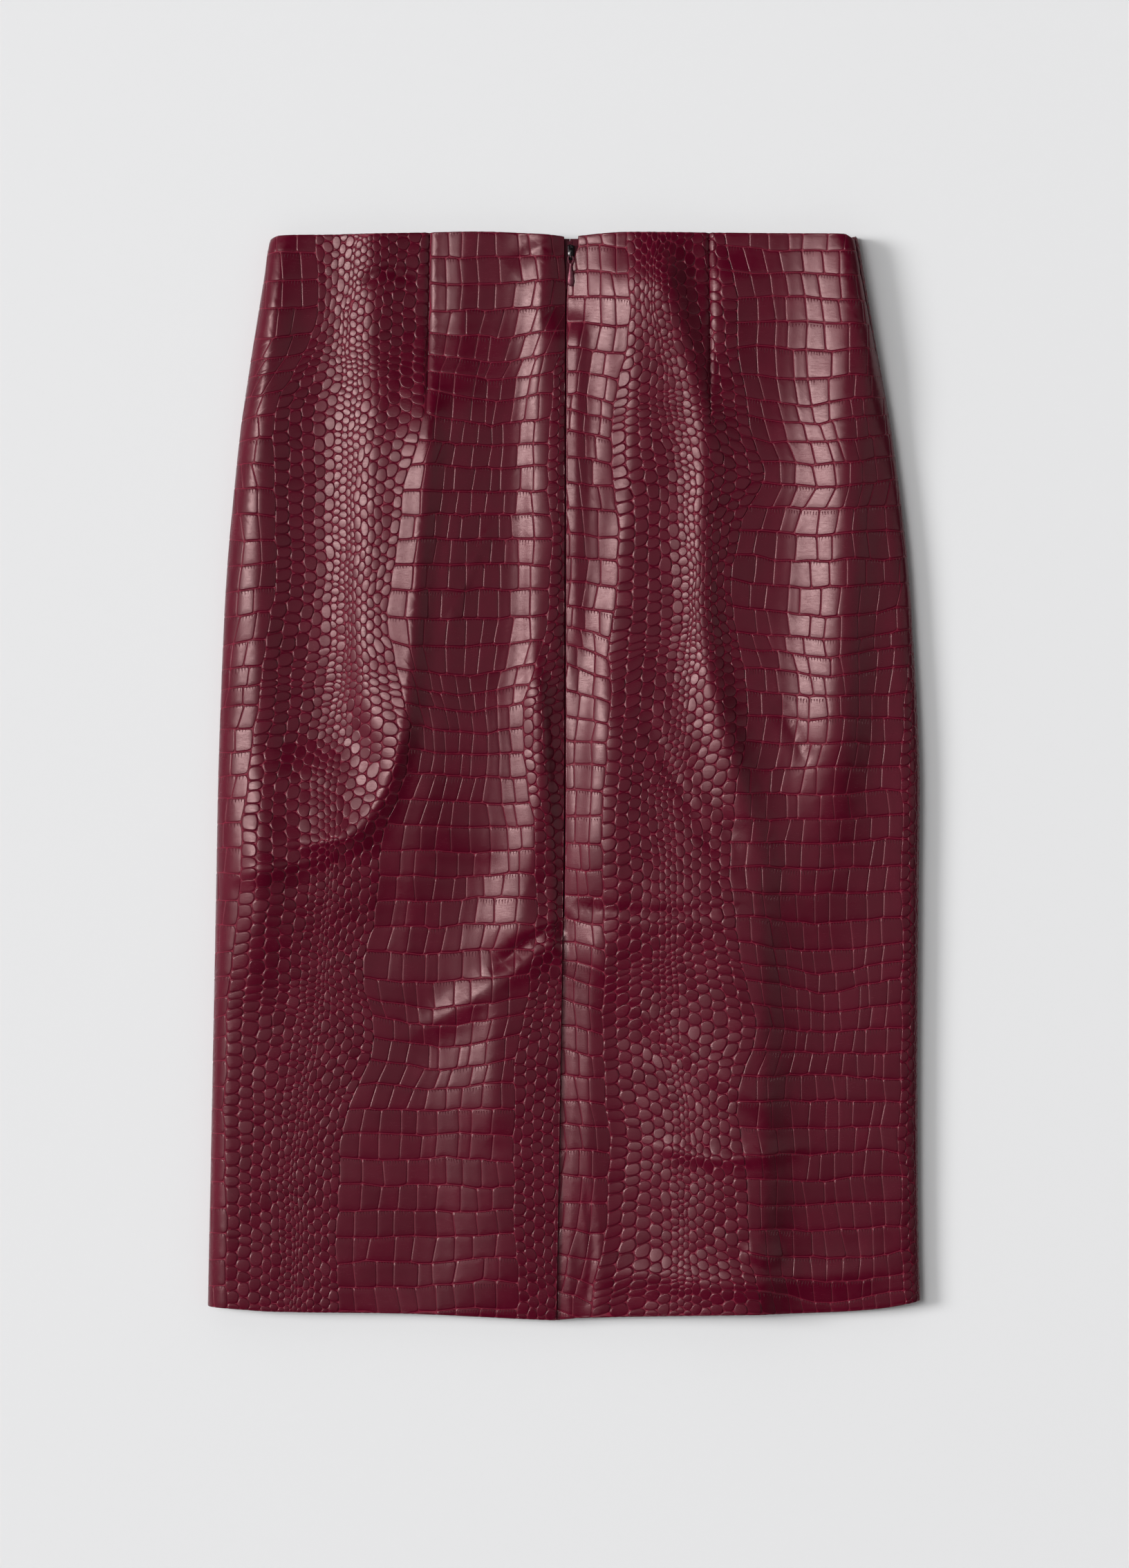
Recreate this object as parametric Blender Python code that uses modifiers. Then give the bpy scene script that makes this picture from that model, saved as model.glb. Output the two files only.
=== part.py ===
"""Midi skirt of embossed faux leather, lying flat on its front with its back up.

The garment is a tube of three panels: a whole front that rests on the floor, and
a left and a right back that meet at the centre-back seam and overlap in a vent
below it. Two darts shape the back, a concealed zip closes it, and its pull tab
hangs on the slider's bow and swings on it.

Frame: +X to the right of the back, +Y from the hem to the waist, +Z up, with the
origin on the floor under the middle of the skirt. Sizes are in millimetres until
the points are made.
"""

import math

import bmesh
import bpy
import numpy as np

MM = 0.001
COLLECTION = "midi_skirt"

# Cloth and seams
WALL = 1.2              # faux leather with its knitted backing
SEAM_GAP = 0.3          # clear space between two pieces
LAYER_GAP = 0.45        # between two layers, one on the other
SIDE_SEAM_GAP = 0.42    # round the outside of the curve, which closes to 0.3 inside
SEAM_DIP = 0.8          # how far both edges roll down at the centre-back seam
SEAM_DIP_WIDTH = 3.0
EDGE_STEPS = (0.0, 2.0, 5.0)    # points across, from a centre edge
SIDE_WIDTH = 12.0       # across, from the side's edge to where the back lies level
FRONT_SIDE_WIDTH = 9.0  # the same on the front, to where it lies on the floor
SIDE_HEIGHT = 6.0       # the widest point of the side above the floor
BACK_ARC = (0.22, 0.45, 0.68, 0.86, 0.95, 1.0)   # points round the side, to its seam
FRONT_ARC = (0.0, 0.05, 0.26, 0.52, 0.78)        # and on, to where the front lies level

# Vent, darts and zip
VENT_TOP = -97.0
VENT_LAP = 37.5         # how far the right back runs on under the left one
VENT_LAP_DROP = 16.0    # the lap's outer corner below the vent's top
VENT_EASE = 14.0        # length over which the seam opens into the lap
LAP_RAMP = 8.0          # width over which the right back comes up beside the lap
DART_TIP = 228.0
DART_DEPTH = 1.3
DART_HALF_WIDTH = 3.0
ZIP_FOOT = 128.0
ZIP_CLOSES = 322.0      # below here the seam's edges meet over the zip
TAPE_WIDTH = 11.0
TAPE_WALL = 1.0
TAPE_TOP_INSET = 1.5

# Slider and pull tab
PIVOT_X = 4.2
PIVOT_Y = 334.3
PIVOT_LIFT = 1.15       # the pull's axis above the leather around it
PULL_HALF_THICKNESS = 0.6
SLIDER_LENGTH = 9.6
SLIDER_WIDTH = 3.9
SLIDER_HEIGHT = 1.7
SLIDER_REACH = 1.9      # the slider's body past the pivot, toward the hem
BOW_HALF_WIDTH = 0.65
BOW_INNER = 1.25        # from the pivot to the inside of the bow's legs
BOW_BAR = 0.75

# The skirt's outline: a row for each height, left and right edge across
OUTLINE = (
    # y, left, right
    (349.0, -186.0, 188.0),
    (345.0, -189.8, 189.8),
    (322.6, -193.3, 193.6),
    (278.0, -200.5, 201.2),
    (224.4, -208.5, 210.7),
    (188.7, -212.4, 215.7),
    (144.0, -216.6, 221.0),
    (99.3, -219.4, 224.4),
    (10.0, -222.8, 229.0),
    (-79.3, -224.6, 228.6),
    (-213.0, -227.2, 227.8),
    (-302.0, -229.0, 228.6),
    (-345.0, -229.9, 229.9),
)
HEM_EDGE = (
    # x, y of the back's hem
    (-230.0, -341.6), (-217.0, -342.7), (-186.0, -344.9), (-96.0, -346.3),
    (-4.0, -350.6), (0.0, -349.4), (82.0, -347.2), (171.0, -345.4),
    (207.0, -342.7), (230.0, -338.2),
)
WAIST_EDGE = (
    # x, y of the back's waist
    (-190.0, 348.6), (-141.0, 348.9), (-52.0, 350.6), (-7.0, 348.4),
    (2.0, 347.6), (38.0, 350.2), (127.0, 349.8), (190.0, 348.9),
)
FRONT_HEM_RISE = 3.0    # the front's hem and waist lie hidden, inside the back's
FRONT_WAIST_DROP = 4.0
CENTRE_LINE = (
    # y, x of the centre-back seam
    (349.0, 4.0), (333.0, 2.6), (313.0, 1.3), (0.0, 0.5), (-97.0, -0.4), (-350.0, -4.5),
)
ZIP_MOUTH = (
    # y, how far the left and the right edge stand back from the centre line
    (349.0, 3.6, 4.5), (338.0, 2.6, 5.2), (ZIP_CLOSES, 0.0, 0.0), (300.0, 0.0, 0.0),
)
DART_LINE = {
    # side: x at the waist, x at the tip
    "left": (-86.6, -88.4),
    "right": (93.3, 94.2),
}
BACK_HEIGHT = (
    # y, height of the back's outer face without its folds
    (349.0, 12.0), (300.0, 12.2), (200.0, 13.0), (0.0, 13.2), (-200.0, 12.6), (-350.0, 11.6),
)
SIDE_SEAM = {
    # side: (y, angle of the seam round the side, 0 on top and 90 at its widest)
    "left": ((349.0, 90.0), (-350.0, 90.0)),
    "right": ((349.0, 50.0), (300.0, 58.0), (225.0, 82.0), (180.0, 90.0), (-350.0, 90.0)),
}

# Folds of the back: a row for each, in the order from left to right. The path runs
# down the skirt, west and east are the widths of its two flanks, height is at its
# crest or, below nought, in its trough, and the last two are the shares of its
# length over which it rises and dies away.
FOLDS = (
    # name, path, west, east, height, rise, fade
    ("left_shoulder", ((-186, 330), (-196, 140), (-196, -20), (-200, -110)), 26, 20, 3.4, 0.20, 0.30),
    ("left_inner", ((-128, 360), (-132, 200), (-128, 70), (-112, 0)), 16, 30, 2.6, 0.0, 0.30),
    ("j_fold", ((-84, 262), (-94, 120), (-104, 10), (-140, -62), (-215, -84)), 20, 34, 4.8, 0.16, 0.14),
    ("left_trough", ((-50, 330), (-54, 150), (-66, -60)), 22, 22, -1.6, 0.20, 0.25),
    ("seam_left", ((-10, 360), (-8, 150), (-20, -40), (-30, -90)), 20, 12, 3.6, 0.0, 0.20),
    ("seam_right", ((48, 360), (42, 200), (30, 60), (14, -70)), 20, 30, 4.0, 0.06, 0.20),
    ("dart_right", ((62, 330), (90, 230), (92, 130), (112, 0), (140, -70)), 18, 30, 3.4, 0.16, 0.25),
    ("hip_right", ((184, 362), (180, 230), (180, 120), (170, -50)), 30, 20, 5.4, 0.0, 0.40),
    ("vent_fold", ((-14, -92), (-34, -130), (-36, -220), (-30, -356)), 30, 30, 3.0, 0.16, 0.30),
    ("low_trough", ((-96, -90), (-90, -180), (-84, -330)), 26, 26, -1.6, 0.25, 0.25),
    ("low_right", ((60, -20), (118, -90), (122, -200), (118, -356)), 70, 34, 4.0, 0.25, 0.0),
)
FOLD_STEPS = 30
CALM_X = 3.5            # the leather lies quiet round the slider
CALM_WIDTH = 12.0
CALM_FROM = 280.0
CALM_RAMP = 22.0

HEM_BAND = 16.0         # height of the hem's first, closer rows of points
WAIST_BAND = 4.0

# Finishes: base colour, roughness, metallic
LEATHER = ((0.108, 0.010, 0.024), 0.34, 0.0)
TAPE = ((0.100, 0.012, 0.026), 0.80, 0.0)
GUNMETAL = ((0.060, 0.052, 0.054), 0.35, 0.9)
PAINTED_METAL = ((0.120, 0.014, 0.032), 0.28, 0.3)


def ease(t):
    """0 below 0, 1 above 1, and a soft S between them."""
    t = min(max(t, 0.0), 1.0)
    return t * t * (3.0 - 2.0 * t)


def read(table, key, column=1):
    """Smooth value of a column at key, from rows sorted by their first column."""
    rows = sorted(table)
    keys = [row[0] for row in rows]
    values = [row[column] for row in rows]
    if key <= keys[0]:
        return values[0]
    if key >= keys[-1]:
        return values[-1]
    i = max(n for n in range(len(keys) - 1) if keys[n] <= key)
    span = keys[i + 1] - keys[i]

    def slope(n):
        low = max(n - 1, 0)
        high = min(n + 1, len(keys) - 1)
        return (values[high] - values[low]) / (keys[high] - keys[low])

    t = (key - keys[i]) / span
    h00 = 2 * t ** 3 - 3 * t ** 2 + 1
    h10 = t ** 3 - 2 * t ** 2 + t
    h01 = -2 * t ** 3 + 3 * t ** 2
    h11 = t ** 3 - t ** 2
    return h00 * values[i] + h10 * span * slope(i) + h01 * values[i + 1] + h11 * span * slope(i + 1)


# ---------------------------------------------------------------- the draped form

def fold_curve(path):
    """Points along a smooth curve through a fold's path."""
    path = np.array(path, dtype=float)
    steps = np.hypot(*(path[1:] - path[:-1]).T)
    along = np.concatenate([[0.0], np.cumsum(steps)])
    across = [tuple(row) for row in zip(along, path[:, 0], path[:, 1])]
    stops = np.linspace(0.0, along[-1], FOLD_STEPS + 1)
    return [(read(across, s, 1), read(across, s, 2)) for s in stops]


def fold_height(x, y, curve, west, east, height, rise, fade):
    """Height that one fold adds at a point."""
    nearest = None
    last = len(curve) - 2
    for i in range(len(curve) - 1):
        ax, ay = curve[i]
        bx, by = curve[i + 1]
        length = math.hypot(bx - ax, by - ay)
        ux, uy = (bx - ax) / length, (by - ay) / length
        t = ((x - ax) * ux + (y - ay) * uy) / length
        low = -9.0 if i == 0 else 0.0
        high = 9.0 if i == last else 1.0
        t = min(max(t, low), high)
        gap_x = x - ax - t * length * ux
        gap_y = y - ay - t * length * uy
        away = math.hypot(gap_x, gap_y)
        if nearest is None or away < nearest[0]:
            side = (y - ay) * ux - (x - ax) * uy
            nearest = (away, math.copysign(away, side), (i + t) / (last + 1))
    _, offset, along = nearest
    flank = west if offset < 0.0 else east
    share = 1.0
    if rise > 0.0:
        share *= ease((along + rise / 2) / rise)
    if fade > 0.0:
        share *= ease((1.0 + fade / 2 - along) / fade)
    return height * share * math.exp(-(offset / flank) ** 2)


FOLD_CURVES = tuple((fold_curve(row[1]),) + row[2:] for row in FOLDS)


def centre_x(y):
    return read(CENTRE_LINE, y)


def dart_x(side, y):
    waist_x, tip_x = DART_LINE[side]
    t = min(max((y - DART_TIP) / (OUTLINE[0][0] - DART_TIP), 0.0), 1.0)
    return tip_x + (waist_x - tip_x) * t


def side_x(side, y):
    """Edge of the outline at a height."""
    return read(OUTLINE, y, 1 if side == "left" else 2)


def smooth_height(x, y):
    """Outer face of the back over the floor, with its folds and no seams."""
    folds = sum(fold_height(x, y, *row) for row in FOLD_CURVES)
    calm = math.exp(-((x - CALM_X) / CALM_WIDTH) ** 2) * ease((y - CALM_FROM) / CALM_RAMP)
    return read(BACK_HEIGHT, y) + folds * (1.0 - calm)


def seam_dip(x, y):
    """How far the centre-back seam draws the leather down; the vent has none."""
    above_vent = ease((y - VENT_TOP) / VENT_EASE)
    return SEAM_DIP * above_vent * math.exp(-((x - centre_x(y)) / SEAM_DIP_WIDTH) ** 2)


def dart_dip(side, x, y):
    """How far a dart draws the leather in, from its tip up to the waist."""
    reach = ease((y - DART_TIP) / 30.0)
    away = abs(x - dart_x(side, y)) / DART_HALF_WIDTH
    return DART_DEPTH * reach * max(1.0 - away, 0.0) ** 1.5


def lap_dip(x, y):
    """How far the right back is pressed down under the left one, at the vent."""
    in_vent = 1.0 - ease((y - VENT_TOP) / VENT_EASE)
    beside = 1.0 - ease((x - centre_x(y) - 0.6) / LAP_RAMP)
    return (WALL + LAYER_GAP) * in_vent * beside


def back_height(side, x, y):
    """Outer face of a back panel over the floor, away from the rounded side."""
    height = smooth_height(x, y) - seam_dip(x, y) - dart_dip(side, x, y)
    if side == "right":
        height -= lap_dip(x, y)
    return height


def side_point(side, y, angle):
    """Point round the skirt's side; angle is 0 on top, 90 at its widest, 180 below."""
    turn = math.radians(angle)
    outward = -1.0 if side == "left" else 1.0
    if angle <= 90.0:
        x = side_x(side, y) - outward * SIDE_WIDTH * (1.0 - math.sin(turn))
        return x, SIDE_HEIGHT + (back_height(side, x, y) - SIDE_HEIGHT) * math.cos(turn)
    x = side_x(side, y) - outward * FRONT_SIDE_WIDTH * (1.0 - math.sin(turn))
    return x, SIDE_HEIGHT * (1.0 + math.cos(turn))


def seam_angle(side, y, outside):
    """Angle of a panel's edge at the side seam, on the back (-1) or the front (1)."""
    angle = read(SIDE_SEAM[side], y)
    return angle + outside * math.degrees(SIDE_SEAM_GAP / 2 / SIDE_HEIGHT)


# ---------------------------------------------------------------- panels

def edge_y(x, centre_y):
    """Height of a row of points at x: rows follow the hem low and the waist high."""
    hem, waist = read(HEM_EDGE, x), read(WAIST_EDGE, x)
    hem_mid, waist_mid = read(HEM_EDGE, 0.0), read(WAIST_EDGE, 0.0)
    return hem + (centre_y - hem_mid) * (waist - hem) / (waist_mid - hem_mid)


def row_heights(panel):
    """Heights at the centre of a panel's rows of points, from the hem up."""
    hem, waist = read(HEM_EDGE, 0.0), read(WAIST_EDGE, 0.0)
    stations = (
        # height, steps to the next one on a back panel, and on the front
        (hem, 3, 1),
        (hem + HEM_BAND, 9, 8),
        (VENT_TOP, 1, 1),
        (VENT_TOP + VENT_EASE, 12, 10),
        (DART_TIP, 4, 3),
        (ZIP_CLOSES, 1, 1),
        (PIVOT_Y, 1, 1),
        (waist - WAIST_BAND, 1, 1),
    )
    column = 2 if panel == "front" else 1
    ends = [station[0] for station in stations[1:]] + [waist]
    rows = []
    for station, end in zip(stations, ends):
        steps = station[column]
        rows += [station[0] + (end - station[0]) * n / steps for n in range(steps)]
    return rows + [waist]


def back_columns(side):
    """Places across a back panel: which stretch, how far along it, and an offset."""
    out = -1.0 if side == "left" else 1.0
    columns = [("centre", 0.0, out * step) for step in EDGE_STEPS]
    columns += [("centre", n / 8, 0.0) for n in range(1, 8)]
    columns += [("dart", 0.0, out * step) for step in (-3.2, -1.2, 0.0, 1.2, 3.2)]
    columns += [("dart", n / 7, 0.0) for n in range(1, 8)]
    return columns


def back_row_points(side, centre_y):
    """Points of one row of a back panel, from its centre edge to its side seam."""
    out = -1.0 if side == "left" else 1.0
    mouth = read(ZIP_MOUTH, centre_y, 1 if side == "left" else 2) if centre_y > ZIP_CLOSES else 0.0
    points = []
    for stretch, share, offset in back_columns(side):
        x = centre_x(centre_y) if stretch == "centre" else dart_x(side, centre_y)
        for _ in range(2):
            y = edge_y(x, centre_y)
            start = centre_x(y) + out * (SEAM_GAP / 2 + mouth)
            dart = dart_x(side, y)
            level = side_x(side, y) - out * SIDE_WIDTH
            ends = (start, dart) if stretch == "centre" else (dart, level)
            x = ends[0] + (ends[1] - ends[0]) * share + offset
        y = edge_y(x, centre_y)
        points.append((x, y, back_height(side, x, y)))
    y = edge_y(side_x(side, centre_y), centre_y)
    last = seam_angle(side, y, -1)
    for share in BACK_ARC:
        x, z = side_point(side, y, last * share)
        points.append((x, y, z))
    return points


def lap_row_points(centre_y):
    """Points of the right back under the left one, from the lap's edge inward."""
    bottom = read(HEM_EDGE, 0.0)
    share = (centre_y - bottom) / (VENT_TOP - bottom)
    points = []
    for step in (1.0, 0.7, 0.4, 0.12):
        x = centre_x(centre_y) - VENT_LAP * step
        top = VENT_TOP - VENT_LAP_DROP * step
        y = bottom + 1.0 + (top - bottom - 1.0) * share
        points.append((x, y, smooth_height(x, y) - WALL - LAYER_GAP))
    return points


def front_row_points(centre_y):
    """Points of one row of the front, from the left side seam to the right one."""
    points = []
    edges = {}
    for side in ("left", "right"):
        y = edge_y(side_x(side, centre_y), centre_y)
        first = seam_angle(side, y, 1)
        arc = []
        for share in FRONT_ARC:
            x, z = side_point(side, y, first + (180.0 - first) * share)
            arc.append((x, y, z))
        edges[side] = arc
    left, right = (side_x(s, centre_y) for s in ("left", "right"))
    start, end = left + FRONT_SIDE_WIDTH, right - FRONT_SIDE_WIDTH
    points += edges["left"]
    for n in range(11):
        x = start + (end - start) * n / 10
        inward = ease(min(x - start, end - x) / 40.0)
        t = (centre_y - read(HEM_EDGE, 0.0)) / (read(WAIST_EDGE, 0.0) - read(HEM_EDGE, 0.0))
        y = edge_y(x, centre_y) + inward * (FRONT_HEM_RISE * (1.0 - t) - FRONT_WAIST_DROP * t)
        points.append((x, y, 0.0))
    return points + edges["right"][::-1]


def sheet(name, rows, wall, faces_up):
    """Closed cloth panel: a net through the rows, with its wall grown inward."""
    width = max(len(row) for row in rows)
    net = bmesh.new()
    bmesh.ops.create_grid(net, x_segments=width - 1, y_segments=len(rows) - 1, size=0.5)
    net.verts.ensure_lookup_table()
    spare = []
    for r, row in enumerate(rows):
        missing = width - len(row)
        for c in range(width):
            vert = net.verts[r * width + c]
            if c < missing:
                spare.append(vert)
            else:
                vert.co = [value * MM for value in row[c - missing]]
    bmesh.ops.delete(net, geom=spare, context="VERTS")
    bmesh.ops.recalc_face_normals(net, faces=net.faces)
    up = sum(face.normal.z * face.calc_area() for face in net.faces) > 0.0
    if up != faces_up:
        bmesh.ops.reverse_faces(net, faces=net.faces)
    mesh = bpy.data.meshes.new(name)
    net.to_mesh(mesh)
    net.free()
    mesh.shade_smooth()
    panel = bpy.data.objects.new(name, mesh)
    shell = panel.modifiers.new("wall", "SOLIDIFY")
    shell.thickness = wall * MM
    shell.offset = -1.0
    shell.use_even_offset = True
    return panel


def back_panel(side):
    heights = row_heights("back")
    rows = [back_row_points(side, y) for y in heights]
    if side == "right":
        laps = [lap_row_points(y) if y <= VENT_TOP else [] for y in heights]
        rows = [lap + row for lap, row in zip(laps, rows)]
    return sheet("back_panel_" + side, rows, WALL, True)


def front_panel():
    rows = [front_row_points(y) for y in row_heights("front")]
    return sheet("front_panel", rows, WALL, False)


def zip_tape(side):
    """One tape of the zip, under its panel and in the open mouth of the seam."""
    out = -1.0 if side == "left" else 1.0
    top = read(WAIST_EDGE, 0.0) - TAPE_TOP_INSET
    heights = [y for y in row_heights("back") if ZIP_FOOT < y < top] + [top]
    rows = []
    for y in heights:
        row = []
        for step in EDGE_STEPS + (TAPE_WIDTH,):
            x = centre_x(y) + out * (SEAM_GAP / 2 + step)
            z = smooth_height(x, y) - seam_dip(x, y) - WALL - LAYER_GAP
            row.append((x, y, z))
        rows.append(row)
    return sheet("zip_tape_" + side, rows, TAPE_WALL, True)


# ---------------------------------------------------------------- slider and pull

def pivot_height():
    return read(BACK_HEIGHT, PIVOT_Y) + PIVOT_LIFT


def plate_from_outline(name, outlines, half_thickness):
    """Flat plate of closed outlines, the first outside and the rest holes."""
    flat = bpy.data.curves.new(name, "CURVE")
    flat.dimensions = "2D"
    flat.fill_mode = "BOTH"
    flat.extrude = half_thickness * MM
    for outline in outlines:
        spline = flat.splines.new("POLY")
        spline.points.add(len(outline) - 1)
        for point, (x, y) in zip(spline.points, outline):
            point.co = (x * MM, y * MM, 0.0, 1.0)
        spline.use_cyclic_u = True
    return bpy.data.objects.new(name, flat)


def as_mesh(curve_object):
    """The plate as a welded mesh, in place of the curve."""
    bpy.context.scene.collection.objects.link(curve_object)
    shape = curve_object.evaluated_get(bpy.context.evaluated_depsgraph_get())
    mesh = bpy.data.meshes.new_from_object(shape)
    solid = bmesh.new()
    solid.from_mesh(mesh)
    bmesh.ops.remove_doubles(solid, verts=solid.verts, dist=0.00001)
    solid.to_mesh(mesh)
    solid.free()
    name, place = curve_object.name, curve_object.matrix_world.copy()
    bpy.data.objects.remove(curve_object)
    copy = bpy.data.objects.new(name, mesh)
    copy.matrix_world = place
    return copy


def zip_pull():
    """Teardrop tab with a slot at its top, whose crossbar turns under the bow."""
    half = (
        # x, y down from the pivot
        (1.3, 0.5), (1.85, 0.2), (2.1, -0.7), (2.1, -2.6), (1.75, -3.8), (1.0, -4.8),
        (0.85, -5.6), (1.0, -7.4), (1.45, -10.4), (1.95, -13.4), (2.2, -15.6), (2.05, -17.2),
        (1.35, -18.4), (0.5, -18.9),
    )
    outline = list(half) + [(-x, y) for x, y in reversed(half)]
    slot = ((1.1, -0.5), (-1.1, -0.5), (-1.1, -3.2), (-0.7, -3.6), (0.7, -3.6), (1.1, -3.2))
    pull = as_mesh(plate_from_outline("zip_pull", (outline, slot), PULL_HALF_THICKNESS))
    pull.location = (PIVOT_X * MM, PIVOT_Y * MM, pivot_height() * MM)
    return pull


def zip_slider(cutters):
    """Slider body in the mouth of the seam, with the bow that holds the pull."""
    top = pivot_height() - 1.1
    net = bmesh.new()
    bmesh.ops.create_cube(net, size=1.0)
    length = SLIDER_LENGTH
    for vert in net.verts:
        narrow = 0.82 if vert.co.y < 0.0 else 1.0
        vert.co.x *= SLIDER_WIDTH * narrow * MM
        vert.co.y *= length * MM
        vert.co.z *= SLIDER_HEIGHT * MM
    mesh = bpy.data.meshes.new("zip_slider")
    net.to_mesh(mesh)
    net.free()
    slider = bpy.data.objects.new("zip_slider", mesh)
    middle_y = PIVOT_Y - SLIDER_REACH + length / 2
    slider.location = (PIVOT_X * MM, middle_y * MM, (top - SLIDER_HEIGHT / 2) * MM)
    soften = slider.modifiers.new("soften", "BEVEL")
    soften.width = 0.35 * MM
    soften.segments = 2

    leg = BOW_INNER + BOW_BAR
    crown = 1.1 + BOW_INNER + BOW_BAR
    sink = 0.6
    outside = ((-leg, -sink), (leg, -sink), (leg, crown - 0.5), (leg - 0.5, crown),
               (0.5 - leg, crown), (-leg, crown - 0.5))
    window = ((-BOW_INNER, 0.0), (-BOW_INNER, 1.1 + BOW_INNER), (BOW_INNER, 1.1 + BOW_INNER),
              (BOW_INNER, 0.0))
    bow = as_mesh(plate_from_outline("zip_bow", (outside, window), BOW_HALF_WIDTH))
    bow.rotation_euler = (math.radians(90.0), 0.0, math.radians(90.0))
    bow.location = (PIVOT_X * MM, PIVOT_Y * MM, top * MM)
    bow.hide_render = True
    bow.display_type = "WIRE"
    cutters.objects.link(bow)
    join = slider.modifiers.new("bow", "BOOLEAN")
    join.operation = "UNION"
    join.object = bow
    return slider


# ---------------------------------------------------------------- assembly

def finish_with(piece, look):
    colour, roughness, metallic = look
    material = bpy.data.materials.new(piece.name)
    material.use_nodes = True
    shader = material.node_tree.nodes["Principled BSDF"]
    shader.inputs["Base Color"].default_value = (*colour, 1.0)
    shader.inputs["Roughness"].default_value = roughness
    shader.inputs["Metallic"].default_value = metallic
    piece.data.materials.clear()
    piece.data.materials.append(material)


def main():
    for item in list(bpy.data.objects):
        bpy.data.objects.remove(item)
    parts = bpy.data.collections.new(COLLECTION)
    cutters = bpy.data.collections.new("joined_shapes")
    bpy.context.scene.collection.children.link(parts)
    bpy.context.scene.collection.children.link(cutters)
    pieces = (
        (front_panel(), LEATHER),
        (back_panel("left"), LEATHER),
        (back_panel("right"), LEATHER),
        (zip_tape("left"), TAPE),
        (zip_tape("right"), TAPE),
        (zip_slider(cutters), GUNMETAL),
        (zip_pull(), PAINTED_METAL),
    )
    for piece, look in pieces:
        finish_with(piece, look)
        parts.objects.link(piece)


main()
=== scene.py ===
"""Looks of a midi skirt in embossed faux leather, lying flat with its back up.

Each panel's outer face is a net of embossed scales: broad belly scales in rows,
with short pleats under their top edges, and stacks of pebbles between them. The net
is drawn flat, cut to the panel and laid on the draped form of the panel's solid.
Lengths are in millimetres until points are made.
"""

import math
import random

import bpy
import numpy as np
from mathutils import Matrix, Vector


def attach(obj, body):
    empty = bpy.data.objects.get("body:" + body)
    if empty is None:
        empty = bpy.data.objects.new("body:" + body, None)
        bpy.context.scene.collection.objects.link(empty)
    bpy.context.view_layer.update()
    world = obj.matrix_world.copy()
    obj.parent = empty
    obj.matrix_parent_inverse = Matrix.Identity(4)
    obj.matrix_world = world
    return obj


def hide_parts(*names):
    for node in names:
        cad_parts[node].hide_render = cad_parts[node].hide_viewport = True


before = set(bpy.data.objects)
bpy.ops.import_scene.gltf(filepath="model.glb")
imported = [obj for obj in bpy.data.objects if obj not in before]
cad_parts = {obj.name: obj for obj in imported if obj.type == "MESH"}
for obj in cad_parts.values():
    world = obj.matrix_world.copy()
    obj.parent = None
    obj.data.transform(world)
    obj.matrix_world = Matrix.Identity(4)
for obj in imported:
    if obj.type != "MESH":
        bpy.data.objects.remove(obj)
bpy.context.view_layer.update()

MM = 0.001

# ------------------------------------------------------------- the part's sizes

WALL = 1.2
SEAM_GAP = 0.3
LAYER_GAP = 0.45        # between layers that lie on each other
SIDE_SEAM_GAP = 0.42
SEAM_DIP = 0.8          # how far the centre seam sinks
SEAM_DIP_WIDTH = 3.0
SIDE_WIDTH = 12.0       # of the back's rounded side, seen from above
FRONT_SIDE_WIDTH = 9.0
SIDE_HEIGHT = 6.0       # of the side's widest place
VENT_TOP = -97.0
VENT_LAP = 37.5
VENT_EASE = 14.0        # length in which the seam opens into the vent
LAP_START = 0.6
LAP_RAMP = 8.0          # width in which the vent's lap comes up to the skirt's face
DART_TIP = 228.0
DART_RAMP = 30.0        # length in which a dart deepens from its tip
DART_DEPTH = 1.3
DART_HALF_WIDTH = 3.0
DART_ROUNDING = 1.5
ZIP_CLOSES = 322.0      # below here the seam's edges meet over the zip
PIVOT_X = 4.2           # of the zip's pull
PIVOT_Y = 334.3
CALM_X = 3.5            # beside the slider the cloth has no folds
CALM_WIDTH = 12.0
CALM_FROM = 280.0
CALM_RAMP = 22.0
FOLD_STEPS = 30
FOLD_REACH = 3.2        # in flank widths: further off a fold adds nothing
FOLD_MARGIN = 60.0
RUN_ON = 9.0            # steps that a fold's ends run on straight

OUTLINE = (
    # y, left, right
    (349.0, -186.0, 188.0),
    (345.0, -189.8, 189.8),
    (322.6, -193.3, 193.6),
    (278.0, -200.5, 201.2),
    (224.4, -208.5, 210.7),
    (188.7, -212.4, 215.7),
    (144.0, -216.6, 221.0),
    (99.3, -219.4, 224.4),
    (10.0, -222.8, 229.0),
    (-79.3, -224.6, 228.6),
    (-213.0, -227.2, 227.8),
    (-302.0, -229.0, 228.6),
    (-345.0, -229.9, 229.9),
)
HEM_EDGE = (
    # x, y of the back's hem
    (-230.0, -341.6), (-217.0, -342.7), (-186.0, -344.9), (-96.0, -346.3),
    (-4.0, -350.6), (0.0, -349.4), (82.0, -347.2), (171.0, -345.4),
    (207.0, -342.7), (230.0, -338.2),
)
WAIST_EDGE = (
    # x, y of the back's waist
    (-190.0, 348.6), (-141.0, 348.9), (-52.0, 350.6), (-7.0, 348.4),
    (2.0, 347.6), (38.0, 350.2), (127.0, 349.8), (190.0, 348.9),
)
FRONT_HEM_RISE = 3.0
FRONT_WAIST_DROP = 4.0
CENTRE_LINE = (
    # y, x of the centre-back seam
    (349.0, 4.0), (333.0, 2.6), (313.0, 1.3), (0.0, 0.5), (-97.0, -0.4), (-350.0, -4.5),
)
ZIP_MOUTH = (
    # y, how far the left and the right edge stand back from the centre line
    (349.0, 3.6, 4.5), (338.0, 2.6, 5.2), (ZIP_CLOSES, 0.0, 0.0), (300.0, 0.0, 0.0),
)
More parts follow.
